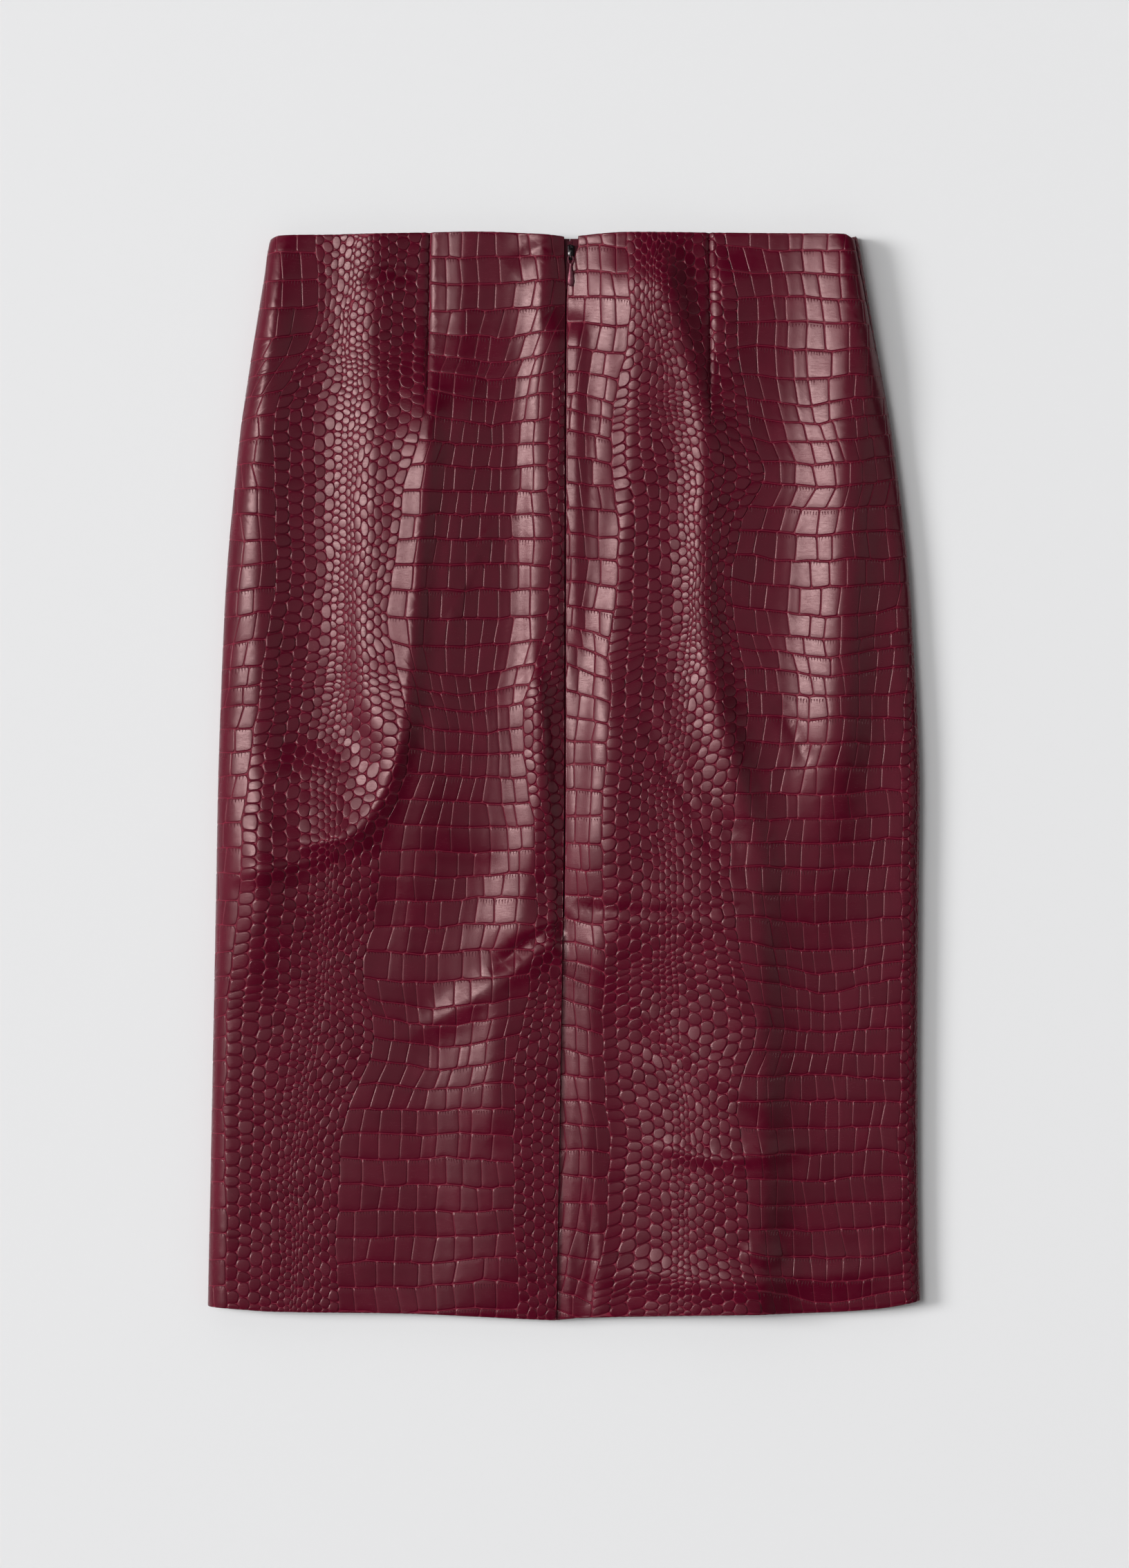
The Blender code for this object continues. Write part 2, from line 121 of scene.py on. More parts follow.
DART_LINE = {
    # side: x at the waist, x at the tip
    "left": (-86.6, -88.4),
    "right": (93.3, 94.2),
}
BACK_HEIGHT = (
    # y, height of the back's outer face without its folds
    (349.0, 12.0), (300.0, 12.2), (200.0, 13.0), (0.0, 13.2), (-200.0, 12.6), (-350.0, 11.6),
)
SIDE_SEAM = {
    # side: (y, angle of the seam round the side, 0 on top and 90 at its widest)
    "left": ((349.0, 90.0), (-350.0, 90.0)),
    "right": ((349.0, 50.0), (300.0, 58.0), (225.0, 82.0), (180.0, 90.0), (-350.0, 90.0)),
}
FOLDS = (
    # name, path, west, east, height, rise, fade
    ("left_shoulder", ((-186, 330), (-196, 140), (-196, -20), (-200, -110)), 26, 20, 3.4, 0.20, 0.30),
    ("left_inner", ((-128, 360), (-132, 200), (-128, 70), (-112, 0)), 16, 30, 2.6, 0.0, 0.30),
    ("j_fold", ((-84, 262), (-94, 120), (-104, 10), (-140, -62), (-215, -84)), 20, 34, 4.8, 0.16, 0.14),
    ("left_trough", ((-50, 330), (-54, 150), (-66, -60)), 22, 22, -1.6, 0.20, 0.25),
    ("seam_left", ((-10, 360), (-8, 150), (-20, -40), (-30, -90)), 20, 12, 3.6, 0.0, 0.20),
    ("seam_right", ((48, 360), (42, 200), (30, 60), (14, -70)), 20, 30, 4.0, 0.06, 0.20),
    ("dart_right", ((62, 330), (90, 230), (92, 130), (112, 0), (140, -70)), 18, 30, 3.4, 0.16, 0.25),
    ("hip_right", ((184, 362), (180, 230), (180, 120), (170, -50)), 30, 20, 5.4, 0.0, 0.40),
    ("vent_fold", ((-14, -92), (-34, -130), (-36, -220), (-30, -356)), 30, 30, 3.0, 0.16, 0.30),
    ("low_trough", ((-96, -90), (-90, -180), (-84, -330)), 26, 26, -1.6, 0.25, 0.25),
    ("low_right", ((60, -20), (118, -90), (122, -200), (118, -356)), 70, 34, 4.0, 0.25, 0.0),
)

# ------------------------------------------------------------- the skin's own sizes

CREASES = (
    # name, path, west, east, height, rise, fade: folds and creases that only the skin has
    (
        "j_wall",
        ((-86, 240), (-94, 150), (-101, 60), (-109, 12), (-130, -30), (-165, -52), (-214, -62)),
        40, 11, 4.4, 0.2, 0.12,
    ),
    (
        "j_lip",
        ((-84, 244), (-92, 150), (-99, 50), (-108, 8), (-128, -27), (-163, -48), (-206, -58)),
        5, 7, 0.8, 0.06, 0.1,
    ),
    (
        "shoulder_lip",
        ((-184, 345), (-195, 200), (-197, 60), (-197, -60), (-200, -120)),
        12, 14, 1.5, 0.1, 0.2,
    ),
    (
        "centre_lip",
        ((-10, 350), (-14, 300), (-19, 240), (-20, 150), (-20, 60), (-14, 0)),
        6, 10, 1.0, 0.0, 0.3,
    ),
    ("seam_lip", ((9.5, 310), (9, 200), (8, 90)), 4, 5, 0.85, 0.1, 0.2),
    ("wedge_lip", ((46, 350), (44, 200), (34, 120), (24, 50), (20, 0), (16, -80)), 7, 20, 1.0, 0.0, 0.3),
    ("low_centre", ((38, 50), (38, -30), (36, -130)), 23, 70, 4.2, 0.4, 0.45),
    (
        "dart_wall",
        ((62, 335), (88, 235), (90, 150), (92, 80), (108, 10), (122, -40)),
        44, 11, 5.0, 0.1, 0.3,
    ),
    ("dart_lip", ((60, 330), (87, 230), (87, 150), (89, 80), (104, 20), (118, -30)), 6, 7, 0.6, 0.1, 0.3),
    ("lens", ((203, 345), (192, 250), (185, 150), (180, 50), (178, -10)), 24, 13, 3.0, 0.1, 0.25),
    ("low_plain", ((122, -60), (126, -200), (124, -356)), 70, 14, 5.6, 0.2, 0.0),
    ("centre_relief", ((-44, 300), (-50, 180), (-56, 40), (-62, -40)), 34, 15, 1.4, 0.3, 0.3),
    ("wedge_relief", ((28, 350), (24, 240), (15, 140)), 30, 13, 2.2, 0.0, 0.3),
    ("low_relief", ((-72, -190), (-74, -260), (-70, -356)), 40, 24, 1.7, 0.3, 0.0),
    ("vent_stay_crease", ((-1, -97), (-18, -103), (-44, -122)), 3.0, 5.0, -1.6, 0.1, 0.3),
    ("vent_fan", ((-4, -108), (-36, -127), (-62, -145), (-90, -162)), 8.0, 9.0, 1.5, 0.1, 0.5),
    ("vent_lip", ((-42, -140), (-46, -180), (-44, -230)), 9.0, 12.0, 1.0, 0.3, 0.3),
    ("vent_edge_fold", ((20, -100), (17, -180), (17, -260), (22, -338)), 8.0, 12.0, 1.4, 0.1, 0.0),
    ("dent_by_dart", ((-129, 320), (-112, 325), (-95, 322)), 4.0, 3.0, -0.8, 0.3, 0.3),
    ("dent_by_zip", ((-33, 331), (-16, 340), (0, 343)), 5.0, 4.0, -0.8, 0.3, 0.3),
    ("streak_in_trough", ((-50, 158), (-62, 128), (-74, 96)), 2.6, 3.4, 0.5, 0.3, 0.3),
    ("vent_shadow_crease", ((14, -268), (18, -300), (15, -338)), 2.4, 3.0, -0.9, 0.3, 0.2),
    ("low_diagonal_one", ((50, 40), (76, -10), (96, -46)), 5.0, 6.0, -0.6, 0.3, 0.3),
    ("low_diagonal_two", ((80, 10), (96, -20), (110, -44)), 5.0, 6.0, -0.5, 0.3, 0.3),
    ("long_diagonal", ((20, -116), (60, -160), (128, -214)), 7.0, 9.0, 0.8, 0.2, 0.3),
    ("seat_crease", ((10, -84), (60, -88), (124, -84)), 3.0, 3.5, -0.5, 0.2, 0.3),
    ("belly_dent", ((138, 46), (148, 28), (156, 10)), 5.0, 5.5, -0.8, 0.35, 0.35),
    ("low_step", ((60, -238), (100, -246), (150, -240)), 5.0, 5.0, 1.0, 0.3, 0.4),
    ("hem_dent", ((118, -304), (128, -310), (140, -308)), 5.0, 5.0, 0.9, 0.35, 0.35),
    ("hem_roll", ((30, -318), (110, -326), (200, -318)), 10.0, 10.0, 1.1, 0.3, 0.3),
    ("centre_hold", ((-17, 70), (-12, 0), (-9, -50), (-8, -108)), 26, 5, 3.0, 0.3, 0.12),
    ("low_left_fall", ((-226, -100), (-228, -220), (-230, -356)), 20, 120, 3.8, 0.25, 0.0),
    ("j_relief", ((-122, 350), (-120, 250), (-126, 130), (-126, 50), (-116, 16)), 12, 18, 2.0, 0.0, 0.2),
    ("hook_lift", ((-160, 12), (-158, -20), (-156, -46)), 34, 26, 3.2, 0.5, 0.2),
    ("seam_left_relief", ((-44, 50), (-46, -10), (-52, -50)), 34, 13, 1.5, 0.4, 0.3),
    ("trough_fall", ((-62, 345), (-66, 200), (-74, 60), (-92, -60), (-100, -130)), 14, 26, 2.2, 0.0, 0.3),
    ("dart_fall", ((104, 330), (104, 240), (106, 160), (110, 110)), 10, 24, 2.2, 0.1, 0.3),
)
VENT_STITCHES = ((-3.5, -96.5), (-32.0, -110.5))
TURN_RADIUS = 0.7       # of the turned edges at the waist, the hem and the vent
TURN_STEPS = 6
SIDE_REACH = 0.3        # the same at the side seams, which are butted
SKIN_WALL = 2 * TURN_RADIUS
SIDE_ARC = 15.4         # length round the back's side, from level to its widest
FRONT_ARC = 12.0        # the same on the front
CORNER_ROUND = 3.5      # rounding of the waist's outer corners
VENT_TUCK = 3.0         # how far the right back's lap starts above the vent
FRONT_EASE = 40.0       # width in which the front's edges draw back from the back's
SEAM_NEAR = 0.4         # an edge point this near a side seam belongs to it

ROW_PITCH = 16.2        # from one row of belly scales to the next
CLOSE_PITCH = 10.4      # the same where the rows crowd together
CLOSE_REACH = 13.0
ROW_WAVES = (
    # height, wave across, wave along
    (0.8, 23.0, 37.0),
    (0.5, 11.0, -17.0),
)
FIRST_ROW = -392.0
LAST_ROW = 396.0
VALLEY_FALL = 1.6       # how far the rows sag to a valley line
CLOSE_FALL = 6.6        # more, where they crowd
CLOSE_FALL_REACH = 40.0
CLOSE_FALL_SHIFT = 10.0
DRIFT = 0.3             # how far a row's dividers drift sideways, in scales
DRIFT_KEPT = 0.6        # share of it that the next row takes over
LEAN = 0.06             # how far they lean, in scales
UNEVEN_WIDTH = 0.2
UNEVEN_LEAN = 0.05
UNEVEN_LINE = 0.45      # how far a row's line jumps at a divider
FINER = 0.12            # how much finer pebbles get towards a stack's finer end
FINE_SHARE = 0.72       # of a stack's usual width: finer pebbles come three to a row
UNEVEN_PEBBLE = 0.16
PEBBLE_TILT = 0.5
BORDER_SWAY = 0.35
BORDER_WAVE = 13.0
BORDER_PHASES = 6.3     # about a whole wave, so that each border starts elsewhere
JOIN = 1.3              # dividers closer than this meet in one point
PEBBLE_BULGE = 0.9      # how far a pebble swells between its two neighbours
EDGE_BULGE = 0.25       # the same beside belly scales
BULGE_SHARE = 0.2       # most of a pebble's width that it swells
SWAYS = (
    # wave, reach, phase
    (2.6, 0.42, 0.4),
    (6.5, 0.8, 2.1),
    (19.0, 1.4, 4.4),
)
NEARLY_CUT = 0.08       # points this near a cut count as past it

LEFT_GUIDES = (
    # y, flank, spine, belly, seam pebbles
    (344.9, -159.0, -130.0, -86.8, 15.0),
    (300.3, -159.0, -136.6, -87.1, 13.0),
    (260.0, -174.6, -137.5, -88.2, -7.0),
    (233.0, -185.7, -138.9, -90.0, -9.4),
    (188.6, -188.0, -138.9, -101.8, -9.4),
    (144.0, -184.8, -139.8, -107.2, -8.0),
    (99.3, -190.2, -141.1, -112.0, -10.7),
    (54.7, -196.9, -143.3, -105.4, -22.8),
    (27.9, -200.9, -149.1, -98.2, -26.3),
    (-3.3, -202.7, -153.6, -103.1, -24.1),
    (-34.6, -206.7, -154.5, -116.1, -19.6),
    (-79.3, -209.4, -154.5, -121.0, -18.3),
    (-123.9, -214.8, -158.0, -129.5, -21.4),
    (-168.6, -217.0, -163.4, -123.2, -29.5),
    (-213.2, -218.8, -172.3, -138.4, -31.7),
    (-302.5, -217.0, -176.8, -147.3, -31.7),
    (-338.2, -216.1, -176.8, -146.5, -30.4),
)
RIGHT_GUIDES = (
    # y, seam belly, spine, belly, middle, edge pebbles
    (344.9, 39.7, 62.1, 104.5, 171.5, 234.0),
    (300.3, 42.0, 59.8, 111.2, 167.0, 229.5),
    (260.1, 37.5, 65.2, 114.3, 162.5, 229.5),
    (224.4, 30.4, 71.0, 120.1, 162.5, 227.3),
    (193.1, 30.4, 75.5, 130.4, 163.9, 227.3),
    (161.9, 34.4, 77.7, 114.3, 165.2, 227.3),
    (121.7, 33.0, 79.0, 108.9, 165.2, 227.3),
    (77.0, 29.0, 78.6, 114.3, 163.0, 221.5),
    (32.4, 27.7, 71.0, 119.7, 165.2, 218.3),
    (-12.3, 25.5, 64.3, 109.0, 168.3, 216.1),
    (-97.1, 25.0, 66.5, 109.0, 163.9, 217.0),
    (-159.6, 25.0, 65.2, 123.2, 167.0, 216.1),
    (-195.3, 25.0, 71.0, 112.5, 169.2, 216.1),
    (-235.5, 28.6, 75.5, 114.3, 167.9, 216.1),
    (-302.5, 25.0, 72.3, 120.6, 168.8, 217.0),
    (-338.2, 17.4, 73.2, 126.8, 171.5, 217.9),
)
FRONT_GUIDES = (
    # y, left flank, left spine, left belly, middle, right belly, right spine, right flank
    (345.0, -150.0, -112.0, -70.0, 0.0, 72.0, 110.0, 152.0),
    (150.0, -168.0, -126.0, -84.0, -3.0, 78.0, 120.0, 166.0),
    (0.0, -176.0, -130.0, -80.0, 2.0, 84.0, 134.0, 180.0),
    (-160.0, -184.0, -138.0, -92.0, -2.0, 90.0, 136.0, 178.0),
    (-340.0, -190.0, -142.0, -88.0, 3.0, 86.0, 140.0, 188.0),
)
LAYOUTS = {
    # guides are lines down the panel, numbered from 1. crowded says where the rows crowd
    # together. A valley is (guide, offset, half width). A stack is (kind, from, to, scales
    # across, finer end), where from and to are (guide, offset), and the finer end is 1
    # for the last scales, -1 for the first and 0 for neither. The seeds are the net's
    # and the scales'.
    "left": {
        "guides": LEFT_GUIDES,
        "crowded": (267.0, 60.0, -147.0),
        "valleys": ((3, 44.0, 62.0), (1, -50.0, 60.0)),
        "stacks": (
            ("belly", (1, -66.0), (1, 0.0), 6, 0),
            ("pebbles", (1, 0.0), (2, 0.0), 7, 1),
            ("pebbles", (2, 0.0), (3, 0.0), 8, -1),
            ("belly", (3, 0.0), (4, 0.0), 9, 0),
            ("pebbles", (4, 0.0), (4, 50.0), 8, 0),
        ),
        "seeds": (11, 31),
    },
    "right": {
        "guides": RIGHT_GUIDES,
        "crowded": (238.0, 86.0, -121.0, -325.0),
        "valleys": ((4, 0.0, 60.0), (1, 0.0, 26.0)),
        "stacks": (
            ("belly", (1, -75.0), (1, 0.0), 8, 0),
            ("pebbles", (1, 0.0), (2, 0.0), 6, 1),
            ("pebbles", (2, 0.0), (3, 0.0), 8, -1),
            ("belly", (3, 0.0), (5, 0.0), 10, 0),
            ("pebbles", (5, 0.0), (5, 37.0), 8, 0),
        ),
        "seeds": (23, 47),
    },
    "front": {
        "guides": FRONT_GUIDES,
        "crowded": (250.0, 44.0, -163.0),
        "valleys": ((4, 0.0, 62.0),),
        "stacks": (
            ("pebbles", (1, -66.0), (1, -33.0), 5, 0),
            ("belly", (1, -33.0), (1, 0.0), 3, 0),
            ("pebbles", (1, 0.0), (2, 0.0), 6, 1),
            ("pebbles", (2, 0.0), (3, 0.0), 6, -1),
            ("belly", (3, 0.0), (5, 0.0), 14, 0),
            ("pebbles", (5, 0.0), (6, 0.0), 6, 1),
            ("pebbles", (6, 0.0), (7, 0.0), 6, -1),
            ("belly", (7, 0.0), (7, 33.0), 3, 0),
            ("pebbles", (7, 33.0), (7, 66.0), 5, 0),
        ),
        "seeds": (5, 53),
    },
}


def ease(t):
    """0 below 0, 1 above 1, and a soft S between them."""
    t = np.clip(t, 0.0, 1.0)
    return t * t * (3.0 - 2.0 * t)


def curve_value(table, key, column=1):
    """Smooth value of a table's column at one key or many."""
    rows = sorted(table)
    keys = np.array([row[0] for row in rows], dtype=float)
    values = np.array([row[column] for row in rows], dtype=float)
    low = np.maximum(np.arange(len(keys)) - 1, 0)
    high = np.minimum(np.arange(len(keys)) + 1, len(keys) - 1)
    slopes = (values[high] - values[low]) / (keys[high] - keys[low])
    key = np.clip(key, keys[0], keys[-1])
    i = np.clip(np.searchsorted(keys, key, side="right") - 1, 0, len(keys) - 2)
    span = keys[i + 1] - keys[i]
    t = (key - keys[i]) / span
    h00 = 2 * t ** 3 - 3 * t ** 2 + 1
    h10 = t ** 3 - 2 * t ** 2 + t
    h01 = -2 * t ** 3 + 3 * t ** 2
    h11 = t ** 3 - t ** 2
    return h00 * values[i] + h10 * span * slopes[i] + h01 * values[i + 1] + h11 * span * slopes[i + 1]


# ------------------------------------------------------------- the draped form

def stroke_curve(path):
    """Points along a smooth curve through a fold's path."""
    path = np.array(path, dtype=float)
    steps = np.hypot(*(path[1:] - path[:-1]).T)
    along = np.concatenate([[0.0], np.cumsum(steps)])
    rows = [tuple(row) for row in zip(along, path[:, 0], path[:, 1])]
    stops = np.linspace(0.0, along[-1], FOLD_STEPS + 1)
    return np.column_stack([curve_value(rows, stops, 1), curve_value(rows, stops, 2)])


def stroke_height(x, y, curve, west, east, height, rise, fade):
    """Height that one fold or crease adds at each point."""
    reach = FOLD_REACH * max(west, east)
    near = (x > curve[:, 0].min() - reach) & (x < curve[:, 0].max() + reach)
    reach += FOLD_MARGIN
    near &= (y > curve[:, 1].min() - reach) & (y < curve[:, 1].max() + reach)
    result = np.zeros_like(x)
    x, y = x[near], y[near]
    nearest = np.full_like(x, np.inf)
    offset = np.zeros_like(x)
    along = np.zeros_like(x)
    last = len(curve) - 2
    for i in range(len(curve) - 1):
        step = curve[i + 1] - curve[i]
        length = math.hypot(*step)
        ux, uy = step / length
        t = ((x - curve[i, 0]) * ux + (y - curve[i, 1]) * uy) / length
        t = np.clip(t, -RUN_ON if i == 0 else 0.0, RUN_ON if i == last else 1.0)
        gap_x = x - curve[i, 0] - t * length * ux
        gap_y = y - curve[i, 1] - t * length * uy
        away = np.hypot(gap_x, gap_y)
        side = (y - curve[i, 1]) * ux - (x - curve[i, 0]) * uy
        closer = away < nearest
        nearest[closer] = away[closer]
        offset[closer] = np.copysign(away, side)[closer]
        along[closer] = ((i + t) / (last + 1))[closer]
    share = np.ones_like(x)
    if rise > 0.0:
        share *= ease((along + rise / 2) / rise)
    if fade > 0.0:
        share *= ease((1.0 + fade / 2 - along) / fade)
    flank = np.where(offset < 0.0, west, east)
    result[near] = height * share * np.exp(-(offset / flank) ** 2)
    return result


FOLD_CURVES = tuple((stroke_curve(row[1]),) + row[2:] for row in FOLDS)
CREASE_CURVES = tuple((stroke_curve(row[1]),) + row[2:] for row in CREASES)


def centre_x(y):
    return curve_value(CENTRE_LINE, y)


def dart_x(side, y):
    waist_x, tip_x = DART_LINE[side]
    t = np.clip((y - DART_TIP) / (OUTLINE[0][0] - DART_TIP), 0.0, 1.0)
    return tip_x + (waist_x - tip_x) * t


def side_x(side, y):
    return curve_value(OUTLINE, y, 1 if side == "left" else 2)


def smooth_height(x, y):
    """Outer face of the back over the floor, with its folds and no seams."""
    folds = sum(stroke_height(x, y, *row) for row in FOLD_CURVES + CREASE_CURVES)
    calm = np.exp(-((x - CALM_X) / CALM_WIDTH) ** 2) * ease((y - CALM_FROM) / CALM_RAMP)
    return curve_value(BACK_HEIGHT, y) + folds * (1.0 - calm)


def back_height(side, x, y):
    """Outer face of a back panel over the floor, away from the rounded side."""
    above_vent = ease((y - VENT_TOP) / VENT_EASE)
    seam = SEAM_DIP * above_vent * np.exp(-((x - centre_x(y)) / SEAM_DIP_WIDTH) ** 2)
    away = np.abs(x - dart_x(side, y)) / DART_HALF_WIDTH
    dart = DART_DEPTH * ease((y - DART_TIP) / DART_RAMP) * np.maximum(1.0 - away, 0.0) ** DART_ROUNDING
    height = smooth_height(x, y) - seam - dart
    if side == "right":
        beside = 1.0 - ease((x - centre_x(y) - LAP_START) / LAP_RAMP)
        height -= (WALL + LAYER_GAP) * (1.0 - above_vent) * beside
    return height


def back_place(side, across, y):
    """Points of a back panel's outer face; across follows the skin round the side."""
    out = -1.0 if side == "left" else 1.0
    level = side_x(side, y) - out * SIDE_WIDTH
    over = np.maximum(out * (across - level), 0.0)
    turn = over / SIDE_ARC * math.pi / 2
    x = np.where(over > 0.0, level + out * SIDE_WIDTH * np.sin(turn), across)
    height = back_height(side, x, y)
    z = SIDE_HEIGHT + (height - SIDE_HEIGHT) * np.cos(turn)
    return np.column_stack([x, y, z])


def front_place(across, y):
    """Points of the front's outer face, which lies on the floor and turns up at its sides."""
    side = np.where(across < 0.0, -1.0, 1.0)
    edge = np.where(side < 0.0, side_x("left", y), side_x("right", y))
    over = side * across - (side * edge - FRONT_SIDE_WIDTH)
    low = np.clip(over / FRONT_ARC, 0.0, 1.0) * math.pi / 2
    high = np.clip((over - FRONT_ARC) / SIDE_ARC, 0.0, 1.0) * math.pi / 2
    x = np.where(over > 0.0, edge - side * FRONT_SIDE_WIDTH * (1.0 - np.sin(low)), across)
    x = x - side * SIDE_WIDTH * (1.0 - np.cos(high))
    back = curve_value(BACK_HEIGHT, y) - SIDE_HEIGHT
    z = SIDE_HEIGHT * (1.0 - np.cos(low)) + back * np.sin(high)
    return np.column_stack([x, y, z])


def seam_reach(side, y):
    """How far round the side the seam lies, past where the back is level."""
    return SIDE_ARC * curve_value(SIDE_SEAM[side], y) / 90.0


# ------------------------------------------------------------- the net of scales

def sides_of(ring):
    """Each point of a ring with the next one."""
    return zip(ring, ring[1:] + ring[:1])


def edge(a, b):
    """One name for the edge between two points, whichever way it runs."""
    return (min(a, b), max(a, b))


class Net:
    """Outlines of scales side by side, drawn flat, with their corners shared."""

    def __init__(self):
        self.points = []
        self.cells = []
        self.sewn = set()       # points on a sewn line across the panel

    def point(self, across, along):
        self.points.append((across, along))
        return len(self.points) - 1

    def cell(self, kind, ring, crest):
        """crest is the line of the scale's top edge, as two flat points."""
        self.cells.append({"kind": kind, "ring": ring, "crest": crest})

    def middle(self, cell):
        places = [self.points[p] for p in cell["ring"]]
        return [sum(values) / len(places) for values in zip(*places)]


class Rows:
    """Where the rows of belly scales run: their pitch, the valleys they sag to and waves."""

    def __init__(self, crowded, valleys, guides):
        heights = np.arange(FIRST_ROW, LAST_ROW, 1.0)
        pitch = np.full_like(heights, ROW_PITCH)
        for place in crowded:
            pitch -= (ROW_PITCH - CLOSE_PITCH) * np.exp(-((heights - place) / CLOSE_REACH) ** 2)
        self.heights = heights
        self.numbers = np.concatenate([[0.0], np.cumsum(1.0 / pitch)[:-1]])
        self.crowded = crowded
        self.valleys = valleys
        self.guides = guides

    def height(self, number, across):
        y = np.interp(number, self.numbers, self.heights)
        fall = VALLEY_FALL
        for place in self.crowded:
            fall = fall + CLOSE_FALL * np.exp(-((y - place + CLOSE_FALL_SHIFT) / CLOSE_FALL_REACH) ** 2)
        sag = 0.0
        for guide, offset, width in self.valleys:
            line = curve_value(self.guides, y, guide) + offset
            sag = np.maximum(sag, 1.0 - np.abs(across - line) / width)
        wave = sum(high * math.sin(across / wide + y / long) for high, wide, long in ROW_WAVES)
        return float(y - fall * sag + wave)


class Border:
    """A line down the skin between two stacks, with the points where dividers meet it."""

    def __init__(self, net, across):
        self.net = net
        self.across = across
        self.left = []
        self.right = []
        self.ladder = []
        self.rank = {}

    def join(self, from_left, from_right, bulge):
        net = self.net
        used = set()
        partner = {}
        for i, y in enumerate(from_left):
            j = min(range(len(from_right)), key=lambda n: abs(from_right[n] - y), default=None)
            if j is not None and j not in used and abs(from_right[j] - y) < JOIN:
                used.add(j)
                partner[i] = j
        self.right = [None] * len(from_right)
        for i, y in enumerate(from_left):
            if i in partner:
                y = (y + from_right[partner[i]]) / 2
            shift = 0.0 if i in partner else -bulge(y)
            self.left.append(net.point(self.across(y) + shift, y))
            if i in partner:
                self.right[partner[i]] = self.left[-1]
        for j, y in enumerate(from_right):
            if self.right[j] is None:
                self.right[j] = net.point(self.across(y) + bulge(y), y)
        self.ladder = sorted(set(self.left + self.right), key=lambda p: net.points[p][1])
        self.rank = {p: n for n, p in enumerate(self.ladder)}

    def between(self, low, high):
        """The points strictly between two of the ladder's, going up."""
        return self.ladder[self.rank[low] + 1:self.rank[high]]


def pebble_stack(net, west, east):
    """One stack of pebbles between two borders."""
    count = min(len(west.right), len(east.left))
    for i in range(count - 1):
        low_left, low_right = west.right[i], east.left[i]
        high_left, high_right = west.right[i + 1], east.left[i + 1]
        ring = [low_left, low_right] + east.between(low_right, high_right)
        ring += [high_right, high_left] + west.between(low_left, high_left)[::-1]
        net.cell("pebble", ring, (net.points[high_left], net.points[high_right]))


def divider_places(net, west, east, scales, chance):
    """Where each row's dividers stand on the line below them and meet the one above."""
    feet, heads = [], []
    drift = 0.0
    for r in range(len(west.right) - 1):
        drift = DRIFT_KEPT * drift + chance.uniform(-DRIFT, DRIFT)
        start = net.points[west.right[r]][0]
        width = net.points[east.left[r]][0] - start
        start_up = net.points[west.right[r + 1]][0]
        width_up = net.points[east.left[r + 1]][0] - start_up
        lean = chance.uniform(-LEAN, LEAN)
        foot, head = [], []
        for m in range(1, scales):
            off = drift * math.sin(math.pi * m / scales)
            share = (m + off + chance.uniform(-UNEVEN_WIDTH, UNEVEN_WIDTH)) / scales
            foot.append(start + width * (share - lean / scales))
            lean_up = lean + chance.uniform(-UNEVEN_LEAN, UNEVEN_LEAN)
            head.append(start_up + width_up * (share + lean_up / scales))
        feet.append(foot)
        heads.append(head)
    return feet, heads


def belly_rows(net, rows, west, east, scales, chance):
    """Rows of belly scales between two borders, each row with its own dividers."""
    lines = len(west.right)
    feet, heads = divider_places(net, west, east, scales, chance)
    line_points, foot_points, head_points = [], [], []
    for k in range(lines):
        marks = [(x, "head", m) for m, x in enumerate(heads[k - 1])] if k > 0 else []
        marks += [(x, "foot", m) for m, x in enumerate(feet[k])] if k < lines - 1 else []
        marks.sort()
        here, below, above = [west.right[k]], {}, {}
        i = 0
        while i < len(marks):
            together = [marks[i]]
            if i + 1 < len(marks) and marks[i + 1][0] - marks[i][0] < JOIN \
                    and marks[i + 1][1] != marks[i][1]:
                together.append(marks[i + 1])
            x = sum(mark[0] for mark in together) / len(together)
            jump = chance.uniform(-UNEVEN_LINE, UNEVEN_LINE)
            here.append(net.point(x, rows.height(k + 1, x) + jump))
            for _, which, m in together:
                (below if which == "head" else above)[m] = here[-1]
            i += len(together)
        here.append(east.left[k])
        line_points.append(here)
        head_points.append(below)
        foot_points.append(above)
    for r in range(lines - 1):
        low, high = line_points[r], line_points[r + 1]
        for m in range(scales):
            low_left = foot_points[r][m - 1] if m else low[0]
            low_right = foot_points[r][m] if m < scales - 1 else low[-1]
            high_left = head_points[r + 1][m - 1] if m else high[0]
            high_right = head_points[r + 1][m] if m < scales - 1 else high[-1]
            ring = low[low.index(low_left):low.index(low_right) + 1]
            if m == scales - 1:
                ring = ring + east.between(low_right, high_right)
            ring = ring + high[high.index(high_left):high.index(high_right) + 1][::-1]
            if m == 0:
                ring = ring + west.between(low_left, high_left)[::-1]
            net.cell("belly", ring, (net.points[high_left], net.points[high_right]))


class Strip:
    """One column of scales: all the belly scales of a stack, or one file of its pebbles."""

    def __init__(self, kind, start, end, west, east, count):
        self.kind = kind
        self.start = start      # of the stack, as (guide, offset)
        self.end = end
        self.west = west        # share of the way across the stack
        self.east = east
        self.count = count      # of scales or files across the stack


def strips_of(stacks):
    """A panel's strips, from left to right."""
    strips = []
    for kind, start, end, count, finer in stacks:
        if kind == "belly":
            strips.append(Strip(kind, start, end, 0.0, 1.0, count))
            continue
        for n in range(count):
            west, east = (t + FINER * finer * math.sin(math.pi * t) for t in (n / count, (n + 1) / count))
            strips.append(Strip(kind, start, end, west, east, count))
    return strips


